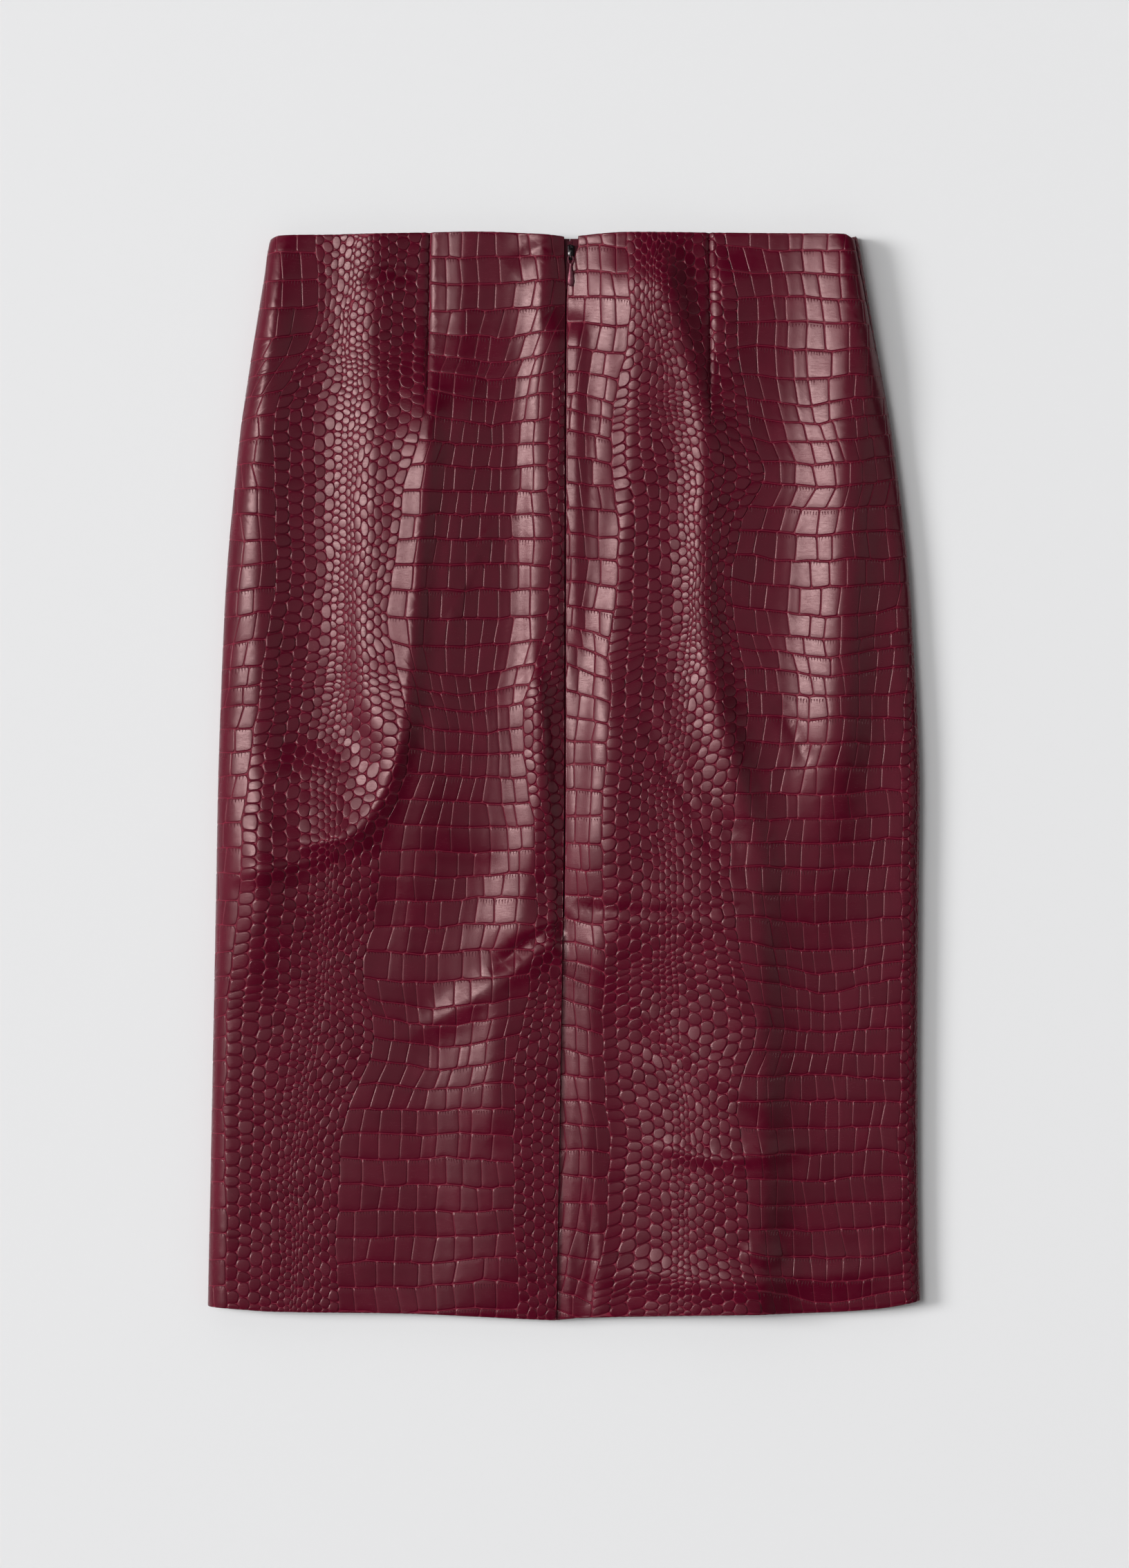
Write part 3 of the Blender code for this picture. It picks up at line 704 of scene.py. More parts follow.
def row_numbers(strips, last, chance):
    """For each strip, the rows or parts of a row at which its scales are divided."""
    numbers = []
    for n, strip in enumerate(strips):
        if strip.kind == "belly":
            numbers.append([float(k) for k in range(1, last)])
            continue
        fine = strip.east - strip.west < FINE_SHARE / strip.count
        per_row = 3 if fine else 2
        stagger = 0.5 * (n % 2)
        steps = range(per_row, per_row * (last - 1))
        uneven = UNEVEN_PEBBLE
        numbers.append([(s + stagger + chance.uniform(-uneven, uneven)) / per_row for s in steps])
    return numbers


def scale_net(layout):
    """The whole net of a panel."""
    chance = random.Random(layout["seeds"][0])
    guides = layout["guides"]
    rows = Rows(layout["crowded"], layout["valleys"], guides)
    net = Net()
    strips = strips_of(layout["stacks"])

    def place(mark, y):
        guide, offset = mark
        return curve_value(guides, y, guide) + offset

    def line(strip, share):
        phase = chance.uniform(0.0, BORDER_PHASES)

        def across(y):
            west, east = place(strip.start, y), place(strip.end, y)
            return float(west + share * (east - west) + BORDER_SWAY * math.sin(y / BORDER_WAVE + phase))

        return across

    numbers = row_numbers(strips, math.floor(rows.numbers[-1]), chance)
    borders = [Border(net, line(strips[0], strips[0].west))]
    borders += [Border(net, line(strip, strip.east)) for strip in strips]
    ends = []
    for n, strip in enumerate(strips):
        pair = []
        for border in (borders[n], borders[n + 1]):
            heights = []
            for k in numbers[n]:
                middle = float(np.interp(k, rows.numbers, rows.heights))
                tilt = 0.0 if strip.kind == "belly" else chance.uniform(-PEBBLE_TILT, PEBBLE_TILT)
                heights.append(rows.height(k, border.across(middle)) + tilt)
            pair.append(sorted(heights))
        ends.append(pair)
    for n, border in enumerate(borders):
        from_left = ends[n - 1][1] if n > 0 else []
        from_right = ends[n][0] if n < len(strips) else []
        sides = {strips[m].kind for m in (n - 1, n) if 0 <= m < len(strips)}
        most = PEBBLE_BULGE if sides == {"pebbles"} else EDGE_BULGE
        beside = borders[max(n - 1, 0):n] + borders[n + 1:n + 2]

        def bulge(y):
            room = min(abs(other.across(y) - border.across(y)) for other in beside)
            return min(most, BULGE_SHARE * room)

        border.join(from_left, from_right, bulge)
    for n, strip in enumerate(strips):
        if strip.kind == "belly":
            belly_rows(net, rows, borders[n], borders[n + 1], strip.count, chance)
        else:
            pebble_stack(net, borders[n], borders[n + 1])
    loosen(net)
    return net


def ripple(x, y, wave, phase):
    """A smooth uneven sway between -1 and 1, in each direction.

    Its bare numbers only keep the waves out of step with each other.
    """
    a = math.sin(x / wave + 1.7 * math.sin(y / wave * 0.61 + phase)) * math.cos(y / wave * 0.83 + phase)
    b = math.sin(y / wave - 1.3 * math.sin(x / wave * 0.73 - phase)) * math.cos(x / wave * 0.57 - phase)
    return a, b


def loosen(net):
    """Sways the whole net, so that no line of it runs quite even."""
    for n, (x, y) in enumerate(net.points):
        for wave, reach, phase in SWAYS:
            a, b = ripple(x, y, wave, phase)
            x, y = x + reach * a, y + reach * b
        net.points[n] = (x, y)


def compact(net):
    """Drops the points that no scale holds any more."""
    used = sorted({p for cell in net.cells for p in cell["ring"]})
    number = {p: n for n, p in enumerate(used)}
    net.points = [net.points[p] for p in used]
    net.sewn = {number[p] for p in net.sewn if p in number}
    for cell in net.cells:
        cell["ring"] = [number[p] for p in cell["ring"]]


def cut(net, distance, on=None, split=False):
    """Cuts scales along the line where distance is nought and drops what lies below it.

    on(middle) tells whether a scale is cut at all. With split both halves stay.
    """
    value = distance(*np.array(net.points).T)
    value = list(np.where(np.abs(value) < NEARLY_CUT, NEARLY_CUT, value))
    crossing = {}

    def meet(a, b):
        if edge(a, b) not in crossing:
            t = value[a] / (value[a] - value[b])
            (ax, ay), (bx, by) = net.points[a], net.points[b]
            crossing[edge(a, b)] = net.point(ax + (bx - ax) * t, ay + (by - ay) * t)
            value.append(0.0)
        return crossing[edge(a, b)]

    kept, untouched = [], []
    for cell in net.cells:
        ring = cell["ring"]
        signs = [value[p] > 0.0 for p in ring]
        if on is not None and not on(*net.middle(cell)):
            untouched.append(cell)
        elif all(signs):
            kept.append(cell)
        elif not any(signs):
            if split:
                kept.append(cell)
        else:
            above, below = [], []
            for a, b in sides_of(ring):
                (above if value[a] > 0.0 else below).append(a)
                if (value[a] > 0.0) != (value[b] > 0.0):
                    both = meet(a, b)
                    above.append(both)
                    below.append(both)
            kept.append({**cell, "ring": above})
            if split:
                kept.append({**cell, "ring": below})
    for cell in untouched + (kept if split or on is not None else []):
        ring = []
        for a, b in sides_of(cell["ring"]):
            ring.append(a)
            if edge(a, b) in crossing:
                ring.append(crossing[edge(a, b)])
        cell["ring"] = ring
    net.cells = [cell for cell in kept + untouched if len(cell["ring"]) > 2]
    if split:
        net.sewn.update(crossing.values())


def shares_along(length, step):
    """Shares of an edge's length at which points are added."""
    if length < SHORT_EDGE * step:
        return []
    if length < LONG_EDGE * step:
        pieces = max(2, round(length / step))
        return [n / pieces for n in range(1, pieces)]
    near = CORNER_STEP * step / length
    pieces = max(2, round(length / (WIDE_STEP * step)))
    return [near] + [n / pieces for n in range(1, pieces)] + [1.0 - near]


def refine(net, step, chance):
    """Adds points along the scales' edges, close to their corners, a little out of line."""
    uses = {}
    for cell in net.cells:
        for a, b in sides_of(cell["ring"]):
            uses[edge(a, b)] = uses.get(edge(a, b), 0) + 1
    added = {}
    for (a, b), count in uses.items():
        (ax, ay), (bx, by) = net.points[a], net.points[b]
        length = math.hypot(bx - ax, by - ay)
        points = []
        for t in shares_along(length, step):
            off = 0.0 if count == 1 else chance.uniform(-EDGE_WANDER, EDGE_WANDER)
            x = ax + (bx - ax) * t - (by - ay) / length * off
            y = ay + (by - ay) * t + (bx - ax) / length * off
            points.append(net.point(x, y))
        added[(a, b)] = points
        if a in net.sewn and b in net.sewn:
            net.sewn.update(points)
    for cell in net.cells:
        ring = []
        for a, b in sides_of(cell["ring"]):
            ring.append(a)
            ring += added[(a, b)] if a < b else added[(b, a)][::-1]
        cell["ring"] = ring


# ------------------------------------------------------------- scales in relief

RELIEF = {
    # kind: (share of the way to the middle, height) of each ring inside the wall, then
    # the middle's height, the wall's width beside and along the rows, how often its
    # corners are smoothed, and how far the scale may lean
    "belly": (((0.10, 0.0), (0.55, 0.02)), 0.03, (0.19, 0.32), 1, 0.012),
    "pebble": (((0.22, 0.0),), 0.015, (0.15, 0.15), 2, 0.025),
    "plain": ((), 0.0, (0.50, 0.50), 1, 0.0),
}
WALL_TOP = -0.05        # height of the wall's top edge
WALL_SHARE = 0.3        # most of a scale's half width that its wall takes
GROOVE_DEPTH = -0.27
GROOVE_UNEVEN = 0.15
SEWN_DEPTH = -1.1       # of a dart's line
LIFT = 0.02             # how far a scale stands over or under its neighbours
ROUNDING_LOSS = 0.1
SMALLEST_SCALE = 0.6    # from middle to edge, for a scale to have a flat top
SHARPEST = 0.3          # a corner sharper than this stays where it is
LONGEST_MITRE = 1.7
EDGE_TINT = 0.05        # how much of the groove's colour the wall's top edge has
PEAK_TINT = 0.3         # and the smallest scales' peaks
STEP = 2.4              # between points along a scale's edge
PLAIN_STEP = 3.0
SHORT_EDGE = 1.25       # in steps: a shorter edge stays as it is
LONG_EDGE = 3.0         # in steps: a longer one has its points close to the corners
CORNER_STEP = 0.6
WIDE_STEP = 2.2
EDGE_WANDER = 0.13
PROBE = 0.3             # to either side, to tell how the form slopes
NO_PLEAT = (0.0, 40.0)  # a place below all pleats
MIDDLE_TONE = 0.5
LEATHER_SLOT, BACKING_SLOT = 0, 1
UV_PER_MM = 0.1
BAKE_MARGIN = 0.01      # the bake's map has the outer face in one half, the inner in the other
BAKE_FILL = 0.97


def inset(ring, beside, along):
    """The ring moved in, by other widths across the rows and along them."""
    count = len(ring)
    result = []
    for i in range(count):
        before, here, after = ring[i - 1], ring[i], ring[(i + 1) % count]
        ax, ay = here[0] - before[0], here[1] - before[1]
        bx, by = after[0] - here[0], after[1] - here[1]
        la, lb = math.hypot(ax, ay) or 1.0, math.hypot(bx, by) or 1.0
        nx, ny = -ay / la - by / lb, ax / la + bx / lb
        size = math.hypot(nx, ny)
        if size < SHARPEST:
            result.append(here)
            continue
        reach = min(2.0 / size, LONGEST_MITRE) / size
        result.append((here[0] + nx * reach * beside, here[1] + ny * reach * along))
    return result


def area_of(ring):
    return sum(a[0] * b[1] - a[1] * b[0] for a, b in sides_of(ring)) / 2


def smoothed(ring, times):
    """The ring with rounder corners, as large as it was but for ROUNDING_LOSS."""
    before = area_of(ring)
    for _ in range(times):
        count = len(ring)
        ring = [
            tuple(0.5 * ring[i][c] + 0.25 * (ring[i - 1][c] + ring[(i + 1) % count][c]) for c in (0, 1))
            for i in range(count)
        ]
    after = area_of(ring)
    if times < 2 or after <= 0.0 or before <= after:
        return ring
    grow = 1.0 + (math.sqrt(before / after) - 1.0) * (1.0 - ROUNDING_LOSS)
    x0, y0 = (sum(values) / len(ring) for values in zip(*ring))
    return [(x0 + (x - x0) * grow, y0 + (y - y0) * grow) for x, y in ring]


def narrowness(ring, middle):
    """Least distance from the middle to the ring's edges."""
    least = math.inf
    for (ax, ay), (bx, by) in sides_of(ring):
        length = math.hypot(bx - ax, by - ay)
        if length > 1e-6:
            gap = ((bx - ax) * (middle[1] - ay) - (by - ay) * (middle[0] - ax)) / length
            least = min(least, gap)
    return least


class Skin:
    """Points and faces of a panel's skin, gathered flat and laid on the form at the end."""

    def __init__(self, net, plain, chance):
        self.net = net
        self.flat = list(net.points)
        self.height = [0.0] * len(net.points)
        self.groove = [0.0] * len(net.points)
        self.faces = []
        self.marks = []       # for each face: local coordinates of its corners, tone, slot
        for cell in net.cells:
            self.scale(cell, plain, chance)
        self.rim = self.rim_loop()
        walls = set()
        for cell in net.cells:
            walls.update(cell["ring"])
        rim_only = self.rim_only()
        for p in walls:
            if p in net.sewn:
                self.height[p] = SEWN_DEPTH
            elif p not in rim_only:
                self.height[p] = GROOVE_DEPTH * chance.uniform(1.0 - GROOVE_UNEVEN, 1.0 + GROOVE_UNEVEN)
                self.groove[p] = 1.0

    def rim_loop(self):
        """Points round the panel's edge, each with the next one."""
        ahead = {}
        for cell in self.net.cells:
            for a, b in sides_of(cell["ring"]):
                ahead[(a, b)] = True
        return {a: b for a, b in ahead if (b, a) not in ahead}

    def rim_only(self):
        """Points of the rim that no groove reaches."""
        inner = set()
        for cell in self.net.cells:
            for a, b in sides_of(cell["ring"]):
                if self.rim.get(a) != b:
                    inner.update((a, b))
        return set(self.rim) - inner

    def add(self, place, height, groove):
        self.flat.append(place)
        self.height.append(height)
        self.groove.append(groove)
        return len(self.flat) - 1

    def scale(self, cell, plain, chance):
        """One scale: a wall round it, then rings up to its middle."""
        ids = cell["ring"]
        ring = [self.net.points[p] for p in ids]
        middle = tuple(sum(values) / len(ring) for values in zip(*ring))
        (x0, y0), (x1, y1) = cell["crest"]
        slope = (y1 - y0) / max(x1 - x0, 0.5)
        pleated = cell["kind"] == "belly"
        tone = chance.random()

        def local(p):
            x, y = self.flat[p]
            return (x - x0, y0 + slope * (x - x0) - y) if pleated else NO_PLEAT

        def face(corners):
            self.faces.append(corners)
            self.marks.append(([local(p) for p in corners], tone, LEATHER_SLOT))

        size = narrowness(ring, middle)
        if size < SMALLEST_SCALE:
            peak = self.add(middle, WALL_TOP, PEAK_TINT)
            for a, b in sides_of(ids):
                face([a, b, peak])
            return
        rings, top, walls, smooth, lean = RELIEF["plain" if plain else cell["kind"]]
        lean_x, lean_y = chance.uniform(-lean, lean), chance.uniform(-lean, lean)
        lift = chance.uniform(-LIFT, LIFT)
        brim = smoothed(inset(ring, *(min(wall, WALL_SHARE * size) for wall in walls)), smooth)

        def level(places, height, groove):
            leant = []
            for x, y in places:
                rise = lift + (x - middle[0]) * lean_x + (y - middle[1]) * lean_y
                leant.append(self.add((x, y), height + rise, groove))
            return leant

        levels = [ids, level(brim, WALL_TOP, EDGE_TINT)]
        for share, height in rings:
            places = [(x + (middle[0] - x) * share, y + (middle[1] - y) * share) for x, y in brim]
            levels.append(level(places, height, 0.0))
        for outer, inner in zip(levels, levels[1:]):
            for (a, b), (c, d) in zip(sides_of(outer), sides_of(inner)):
                face([a, b, d, c])
        peak = self.add(middle, top + lift, 0.0)
        for a, b in sides_of(levels[-1]):
            face([a, b, peak])


def form_frames(place, flat, facing):
    """For flat points: their places on the form, its two directions and its outward normal."""
    x, y = flat.T
    spot = place(x, y)
    across = place(x + PROBE, y) - place(x - PROBE, y)
    along = place(x, y + PROBE) - place(x, y - PROBE)
    normal = np.cross(across, along) * facing
    return spot, across, along, normal / np.linalg.norm(normal, axis=1)[:, None]


def rim_directions(skin, across, along):
    """At each point of the rim, the way out of the panel along its form."""
    back = {b: a for a, b in skin.rim.items()}
    outward = []
    for p, ahead in skin.rim.items():
        (ax, ay), (bx, by) = skin.flat[back.get(p, p)], skin.flat[ahead]
        dx, dy = bx - ax, by - ay
        size = math.hypot(dx, dy) or 1.0
        outward.append((dy / size, -dx / size))
    outward = np.array(outward)
    rim = list(skin.rim)
    tangent = across[rim] * outward[:, :1] + along[rim] * outward[:, 1:]
    return tangent / np.linalg.norm(tangent, axis=1)[:, None]


def turned_edge(spot, tangent, normal, lift, far):
    """Rings of points round the panel's edge, from its outer face to its inner one."""
    rings = []
    for n in range(1, TURN_STEPS):
        angle = math.pi * n / TURN_STEPS
        left = lift * (1.0 - n / TURN_STEPS)
        rings.append(
            spot + tangent * (far * math.sin(angle) + left * math.sin(angle))
            + normal * (left * math.cos(angle) - TURN_RADIUS * (1.0 - math.cos(angle)))
        )
    return rings


def close_skin(skin, corners):
    """Adds the faces of the turned edge and of the inner face, a face to each scale."""
    rim = list(skin.rim)
    count = len(skin.flat)
    rim_id = {p: i for i, p in enumerate(rim)}
    inner_id = {p: count + len(rim) * (TURN_STEPS - 1) + i for i, p in enumerate(corners)}

    def at(p, level):
        if level == 0:
            return p
        if level == TURN_STEPS:
            return inner_id[p]
        return count + (level - 1) * len(rim) + rim_id[p]

    for p, q in skin.rim.items():
        for n in range(TURN_STEPS):
            skin.faces.append([at(q, n), at(p, n), at(p, n + 1), at(q, n + 1)])
            skin.marks.append(([NO_PLEAT] * 4, MIDDLE_TONE, LEATHER_SLOT))
    for cell in skin.net.cells:
        ring = cell["ring"]
        base = set(cell["base"])
        kept = []
        for before, (p, after) in zip(ring[-1:] + ring[:-1], sides_of(ring)):
            if p in base or skin.rim.get(before) == p or skin.rim.get(p) == after:
                kept.append(p)
        skin.faces.append([inner_id[p] for p in kept][::-1])
        skin.marks.append(([NO_PLEAT] * len(kept), MIDDLE_TONE, BACKING_SLOT))


def skin_mesh(name, points, groove, flat, faces, marks):
    """The panel's mesh, with its grooves, tones and the two maps that its leather reads."""
    used = sorted({p for face in faces for p in face})
    number = np.full(len(points), -1)
    number[used] = np.arange(len(used))
    faces = [[int(number[p]) for p in face] for face in faces]
    mesh = bpy.data.meshes.new(name)
    mesh.from_pydata(points[used].tolist(), [], faces)
    mesh.attributes.new("groove", "FLOAT", "POINT").data.foreach_set("value", groove[used])
    mesh.attributes.new("tone", "FLOAT", "FACE").data.foreach_set("value", [m[1] for m in marks])
    mesh.polygons.foreach_set("material_index", [m[2] for m in marks])
    bake = mesh.uv_layers.new(name="OFBake")
    scale = mesh.uv_layers.new(name="scale")
    scale.uv.foreach_set("vector", np.array([c for m in marks for c in m[0]]).ravel() * UV_PER_MM)
    spread = flat[used][[p for face in faces for p in face]]
    low = spread.min(axis=0)
    width, length = spread.max(axis=0) - low
    spread = BAKE_MARGIN + BAKE_FILL * (spread - low) / max((2.0 + 4.0 * BAKE_MARGIN) * width, length)
    spread[:, 0] += [0.5 * (m[2] == BACKING_SLOT) for m in marks for _ in m[0]]
    bake.uv.foreach_set("vector", spread.ravel())
    mesh.shade_smooth()
    mesh.validate()
    return mesh


def laid_skin(name, net, place, plain, seed, facing, reach):
    """The panel as one closed mesh: scales outside, plain backing inside, turned edges.

    place(across, along) gives points of the form, facing is 1 if the net faces the
    viewer of the form and -1 if it is seen from behind, and reach(across, along) is
    how far each edge turns outward.
    """
    chance = random.Random(seed)
    refine(net, PLAIN_STEP if plain else STEP, chance)
    skin = Skin(net, plain, chance)
    flat = np.array(skin.flat)
    spot, across, along, normal = form_frames(place, flat, facing)
    height = np.array(skin.height)[:, None]
    rim = list(skin.rim)
    far = reach(flat[rim, 0], flat[rim, 1])[:, None]
    tangent = rim_directions(skin, across, along)
    turned = turned_edge(spot[rim], tangent, normal[rim], height[rim], far)
    corners = sorted({p for cell in net.cells for p in cell["base"]} | set(rim))
    inside = spot[corners] - normal[corners] * SKIN_WALL
    points = np.concatenate([spot + normal * height] + turned + [inside]) * MM
    groove = np.concatenate([skin.groove, np.zeros(len(points) - len(flat))])
    close_skin(skin, corners)
    if facing < 0:
        skin.faces = [face[::-1] for face in skin.faces]
        skin.marks = [(local[::-1], tone, slot) for local, tone, slot in skin.marks]
    flat = np.concatenate([flat] + [flat[rim]] * len(turned) + [flat[corners]])
    mesh = skin_mesh(name, points, groove, flat, skin.faces, skin.marks)
    panel = bpy.data.objects.new(name, mesh)
    bpy.context.scene.collection.objects.link(panel)
    return panel


def remember_corners(net):
    """Keeps each scale's own corners, before points are added along its edges."""
    for cell in net.cells:
        cell["base"] = list(cell["ring"])


# ------------------------------------------------------------- panels

def corner_drop(gap):
    """How far the waist falls at its rounded outer corner, from the gap to the seam."""
    gap = np.clip(CORNER_ROUND - gap, 0.0, CORNER_ROUND)
    return CORNER_ROUND - np.sqrt(np.maximum(CORNER_ROUND ** 2 - gap ** 2, 0.0))


def back_skin(side):
    """A back panel with its dart cut in, and the right one with its lap for the vent."""
    out = -1.0 if side == "left" else 1.0
    net = scale_net(LAYOUTS[side])

    def side_gap(across, along):
        level = side_x(side, along) - out * SIDE_WIDTH
        seam = seam_reach(side, along) - SIDE_SEAM_GAP / 2 - SIDE_REACH
        return seam - out * (across - level)

    def centre_gap(across, along):
        column = 1 if side == "left" else 2
        mouth = np.where(along > ZIP_CLOSES, curve_value(ZIP_MOUTH, along, column), 0.0)
        return out * (across - centre_x(along)) - SEAM_GAP / 2 - TURN_RADIUS - mouth

    def waist_gap(across, along):
        top = curve_value(WAIST_EDGE, across) - corner_drop(side_gap(across, along))
        return top - TURN_RADIUS - along

    def hem_gap(across, along):
        return along - curve_value(HEM_EDGE, across) - TURN_RADIUS

    def dart_side(across, along):
        return across - dart_x(side, along)

    cut(net, side_gap)
    if side == "left":
        cut(net, centre_gap)
    else:
        cut(net, lambda a, b: a - centre_x(b) + VENT_LAP - TURN_RADIUS)
        cut(net, centre_gap, on=lambda a, b: b > VENT_TOP + VENT_TUCK)
    cut(net, waist_gap)
    cut(net, hem_gap)
    cut(net, dart_side, on=lambda a, b: b > DART_TIP, split=True)
    compact(net)
    remember_corners(net)

    def reach(across, along):
        return np.where(side_gap(across, along) < SEAM_NEAR, SIDE_REACH, TURN_RADIUS)

    def place(across, along):
        return back_place(side, across, along)

    return laid_skin("back_skin_" + side, net, place, False, LAYOUTS[side]["seeds"][1], 1.0, reach)


def front_skin():
    """The front, cut whole. It lies face down, so its scales are kept simpler."""
    net = scale_net(LAYOUTS["front"])

    def side_gap(across, along):
        gaps = []
        for side, out in (("left", -1.0), ("right", 1.0)):
            start = side_x(side, along) - out * FRONT_SIDE_WIDTH
            seam = FRONT_ARC + SIDE_ARC - seam_reach(side, along) - SIDE_SEAM_GAP / 2 - SIDE_REACH
            gaps.append(seam - out * (across - start))
        return np.minimum(*gaps)

    def waist_gap(across, along):
        inward = ease(side_gap(across, along) / FRONT_EASE)
        top = curve_value(WAIST_EDGE, across) - FRONT_WAIST_DROP * inward
        return top - corner_drop(side_gap(across, along)) - TURN_RADIUS - along

    def hem_gap(across, along):
        inward = ease(side_gap(across, along) / FRONT_EASE)
        return along - curve_value(HEM_EDGE, across) - FRONT_HEM_RISE * inward - TURN_RADIUS

    cut(net, side_gap)
    cut(net, waist_gap)
    cut(net, hem_gap)
    compact(net)
    remember_corners(net)

    def reach(across, along):
        return np.where(side_gap(across, along) < SEAM_NEAR, SIDE_REACH, TURN_RADIUS)

    return laid_skin("front_skin", net, front_place, True, LAYOUTS["front"]["seeds"][1], -1.0, reach)


# ------------------------------------------------------------- finishes

def srgb(red, green, blue):
    """A colour from its 0 to 255 values, as the shaders want it."""
    parts = [value / 255.0 for value in (red, green, blue)]
    return tuple(v / 12.92 if v <= 0.04045 else ((v + 0.055) / 1.055) ** 2.4 for v in parts) + (1.0,)


SCALE_COLOUR = srgb(79, 3, 27)
SCALE_MOTTLED = srgb(86, 6, 31)
SCALE_DEEP = srgb(62, 2, 20)
# painted shade: the pleats' creases are coloured darker than the scale tops
PLEAT_SHADE_COLOUR = srgb(56, 3, 18)
GROOVE_COLOUR = srgb(114, 12, 42)
BACKING_DARK = srgb(46, 14, 20)
BACKING_COLOUR = srgb(70, 22, 30)
TAPE_DARK = srgb(52, 8, 20)
TAPE_COLOUR = srgb(96, 20, 40)
THREAD_COLOUR = srgb(88, 16, 36)
DARK_METAL = srgb(52, 48, 50)
DARK_METAL_WORN = srgb(150, 145, 145)
WINE_METAL = srgb(104, 52, 64)
WINE_METAL_WORN = srgb(132, 84, 92)
PAPER_COLOUR = srgb(237, 237, 238)

PLEATS_PER_CM = 5.4
PLEAT_WANDER = 1.2          # how unevenly they stand
PLEAT_HALF_WIDTH = 0.23     # in pleats
PLEAT_SOFTNESS = 0.08
PLEAT_LENGTHS = (0.14, 0.42)    # in centimetres, as all lengths in the scales' own map
PLEAT_START = (0.02, 0.05)
# how much of that painted shade a pleat's crease gets
PLEAT_SHADE_SHARE = 0.6
TONE_SHARE = 0.4            # how much deeper the deepest scale's colour is
GROOVE_SPAN = (0.12, 0.85)  # of the groove attribute, from scale to groove
POLISH = (0.17, 0.22)       # roughness of the scales' tops
GROOVE_ROUGHER = 0.28
GRAIN_ROUGHER = 0.03
STREAKS_ROUGHER = 0.06
GLOSS_TINT = (1.0, 0.70, 0.69, 1.0)
GRAIN_HEIGHT = 0.014
STREAK_HEIGHT = 0.036
PLEAT_HEIGHT = 0.26
BACKING_THREADS = 420.0     # a metre
TAPE_THREADS = 1400.0


class Nodes:
    """Short calls to place and join a material's nodes."""

    def __init__(self, tree):
        self.tree = tree

    def add(self, kind, settings=None, **inputs):
        node = self.tree.nodes.new("ShaderNode" + kind)
        for key, value in (settings or {}).items():
            setattr(node, key, value)
        for key, value in inputs.items():
            self.set(node, key.replace("_", " "), value)
        return node

    def group(self, tree, **inputs):
        node = self.tree.nodes.new("ShaderNodeGroup")
        node.node_tree = tree
        for key, value in inputs.items():
            self.set(node, key.replace("_", " "), value)
        return node.outputs

    def set(self, node, key, value):
        socket = node.inputs[int(key)] if str(key).isdigit() else node.inputs[key]
        if isinstance(value, bpy.types.NodeSocket):
            self.tree.links.new(value, socket)
        else:
            socket.default_value = value

    def math(self, operation, *values, clamp=False):
        node = self.add("Math", {"operation": operation, "use_clamp": clamp})
        for n, value in enumerate(values):
            self.set(node, n, value)
        return node.outputs[0]

    def blend(self, share, first, second):
        """Colour between two, by share."""
        node = self.add("Mix", {"data_type": "RGBA"})
        self.set(node, 0, share)
        self.set(node, 6, first)
        self.set(node, 7, second)
        return node.outputs[2]

    def between(self, value, low, high, to_low=0.0, to_high=1.0, smooth=False):
        """The value's span from low to high, moved. A noise lies mostly from 0.3 to 0.7."""
        node = self.add("MapRange", {"interpolation_type": "SMOOTHSTEP" if smooth else "LINEAR"})
        for key, item in zip(("Value", "From Min", "From Max", "To Min", "To Max"),
                             (value, low, high, to_low, to_high)):
            self.set(node, key, item)
        return node.outputs[0]


def new_material(name):
    """A material, its nodes and its shader."""
    material = bpy.data.materials.new(name)
    material.use_nodes = True
    return material, Nodes(material.node_tree), material.node_tree.nodes["Principled BSDF"]


def new_group(name, given, told):
    """An empty node group with named sockets, and its nodes and ends."""
    tree = bpy.data.node_groups.new(name, "ShaderNodeTree")
    for key, kind in given:
        tree.interface.new_socket(name=key, in_out="INPUT", socket_type="NodeSocket" + kind)
    for key, kind in told:
        tree.interface.new_socket(name=key, in_out="OUTPUT", socket_type="NodeSocket" + kind)
    return tree, Nodes(tree), tree.nodes.new("NodeGroupInput"), tree.nodes.new("NodeGroupOutput")


def weave_effect():
    """Threads over and under each other: how high they stand."""
    tree, n, given, told = new_group("weave", (("Threads", "Float"),), (("Height", "Float"),))
    place = n.add("TexCoord").outputs["Object"]
    sized = n.add("VectorMath", {"operation": "SCALE"}, Vector=place)
    n.set(sized, "Scale", given.outputs["Threads"])
    ribs = n.add("TexWave", {"bands_direction": "X"}, Vector=sized.outputs[0], Scale=1.0, Distortion=1.2)
    loops = n.add("TexWave", {"bands_direction": "Y"}, Vector=sized.outputs[0], Scale=0.8, Distortion=1.6)
    fuzz = n.add("TexNoise", Vector=sized.outputs[0], Scale=3.0, Detail=3.0).outputs["Fac"]
    knit = n.math("MULTIPLY", ribs.outputs["Fac"], loops.outputs["Fac"])
    n.set(told, "Height", n.math("ADD", knit, n.math("MULTIPLY", fuzz, 0.3)))
    return tree


def wear_effect():
    """Smudges and fine scratches on metal: a roughness to add and a height."""
    tree, n, given, told = new_group(
        "metal_wear", (("Scratches", "Float"),), (("Smudge", "Float"), ("Height", "Float")),
    )
    place = n.add("TexCoord").outputs["Object"]
    smudge = n.add("TexNoise", Vector=place, Scale=900.0, Detail=4.0).outputs["Fac"]
    drawn = n.add("Mapping", Vector=place, Scale=(9000.0, 700.0, 2000.0))
    lines = n.add("TexNoise", Vector=drawn.outputs[0], Scale=1.0, Detail=2.0).outputs["Fac"]
    n.set(told, "Smudge", n.between(smudge, 0.35, 0.75, 0.0, 0.18))
    n.set(told, "Height", n.math("MULTIPLY", lines, given.outputs["Scratches"]))
    return tree


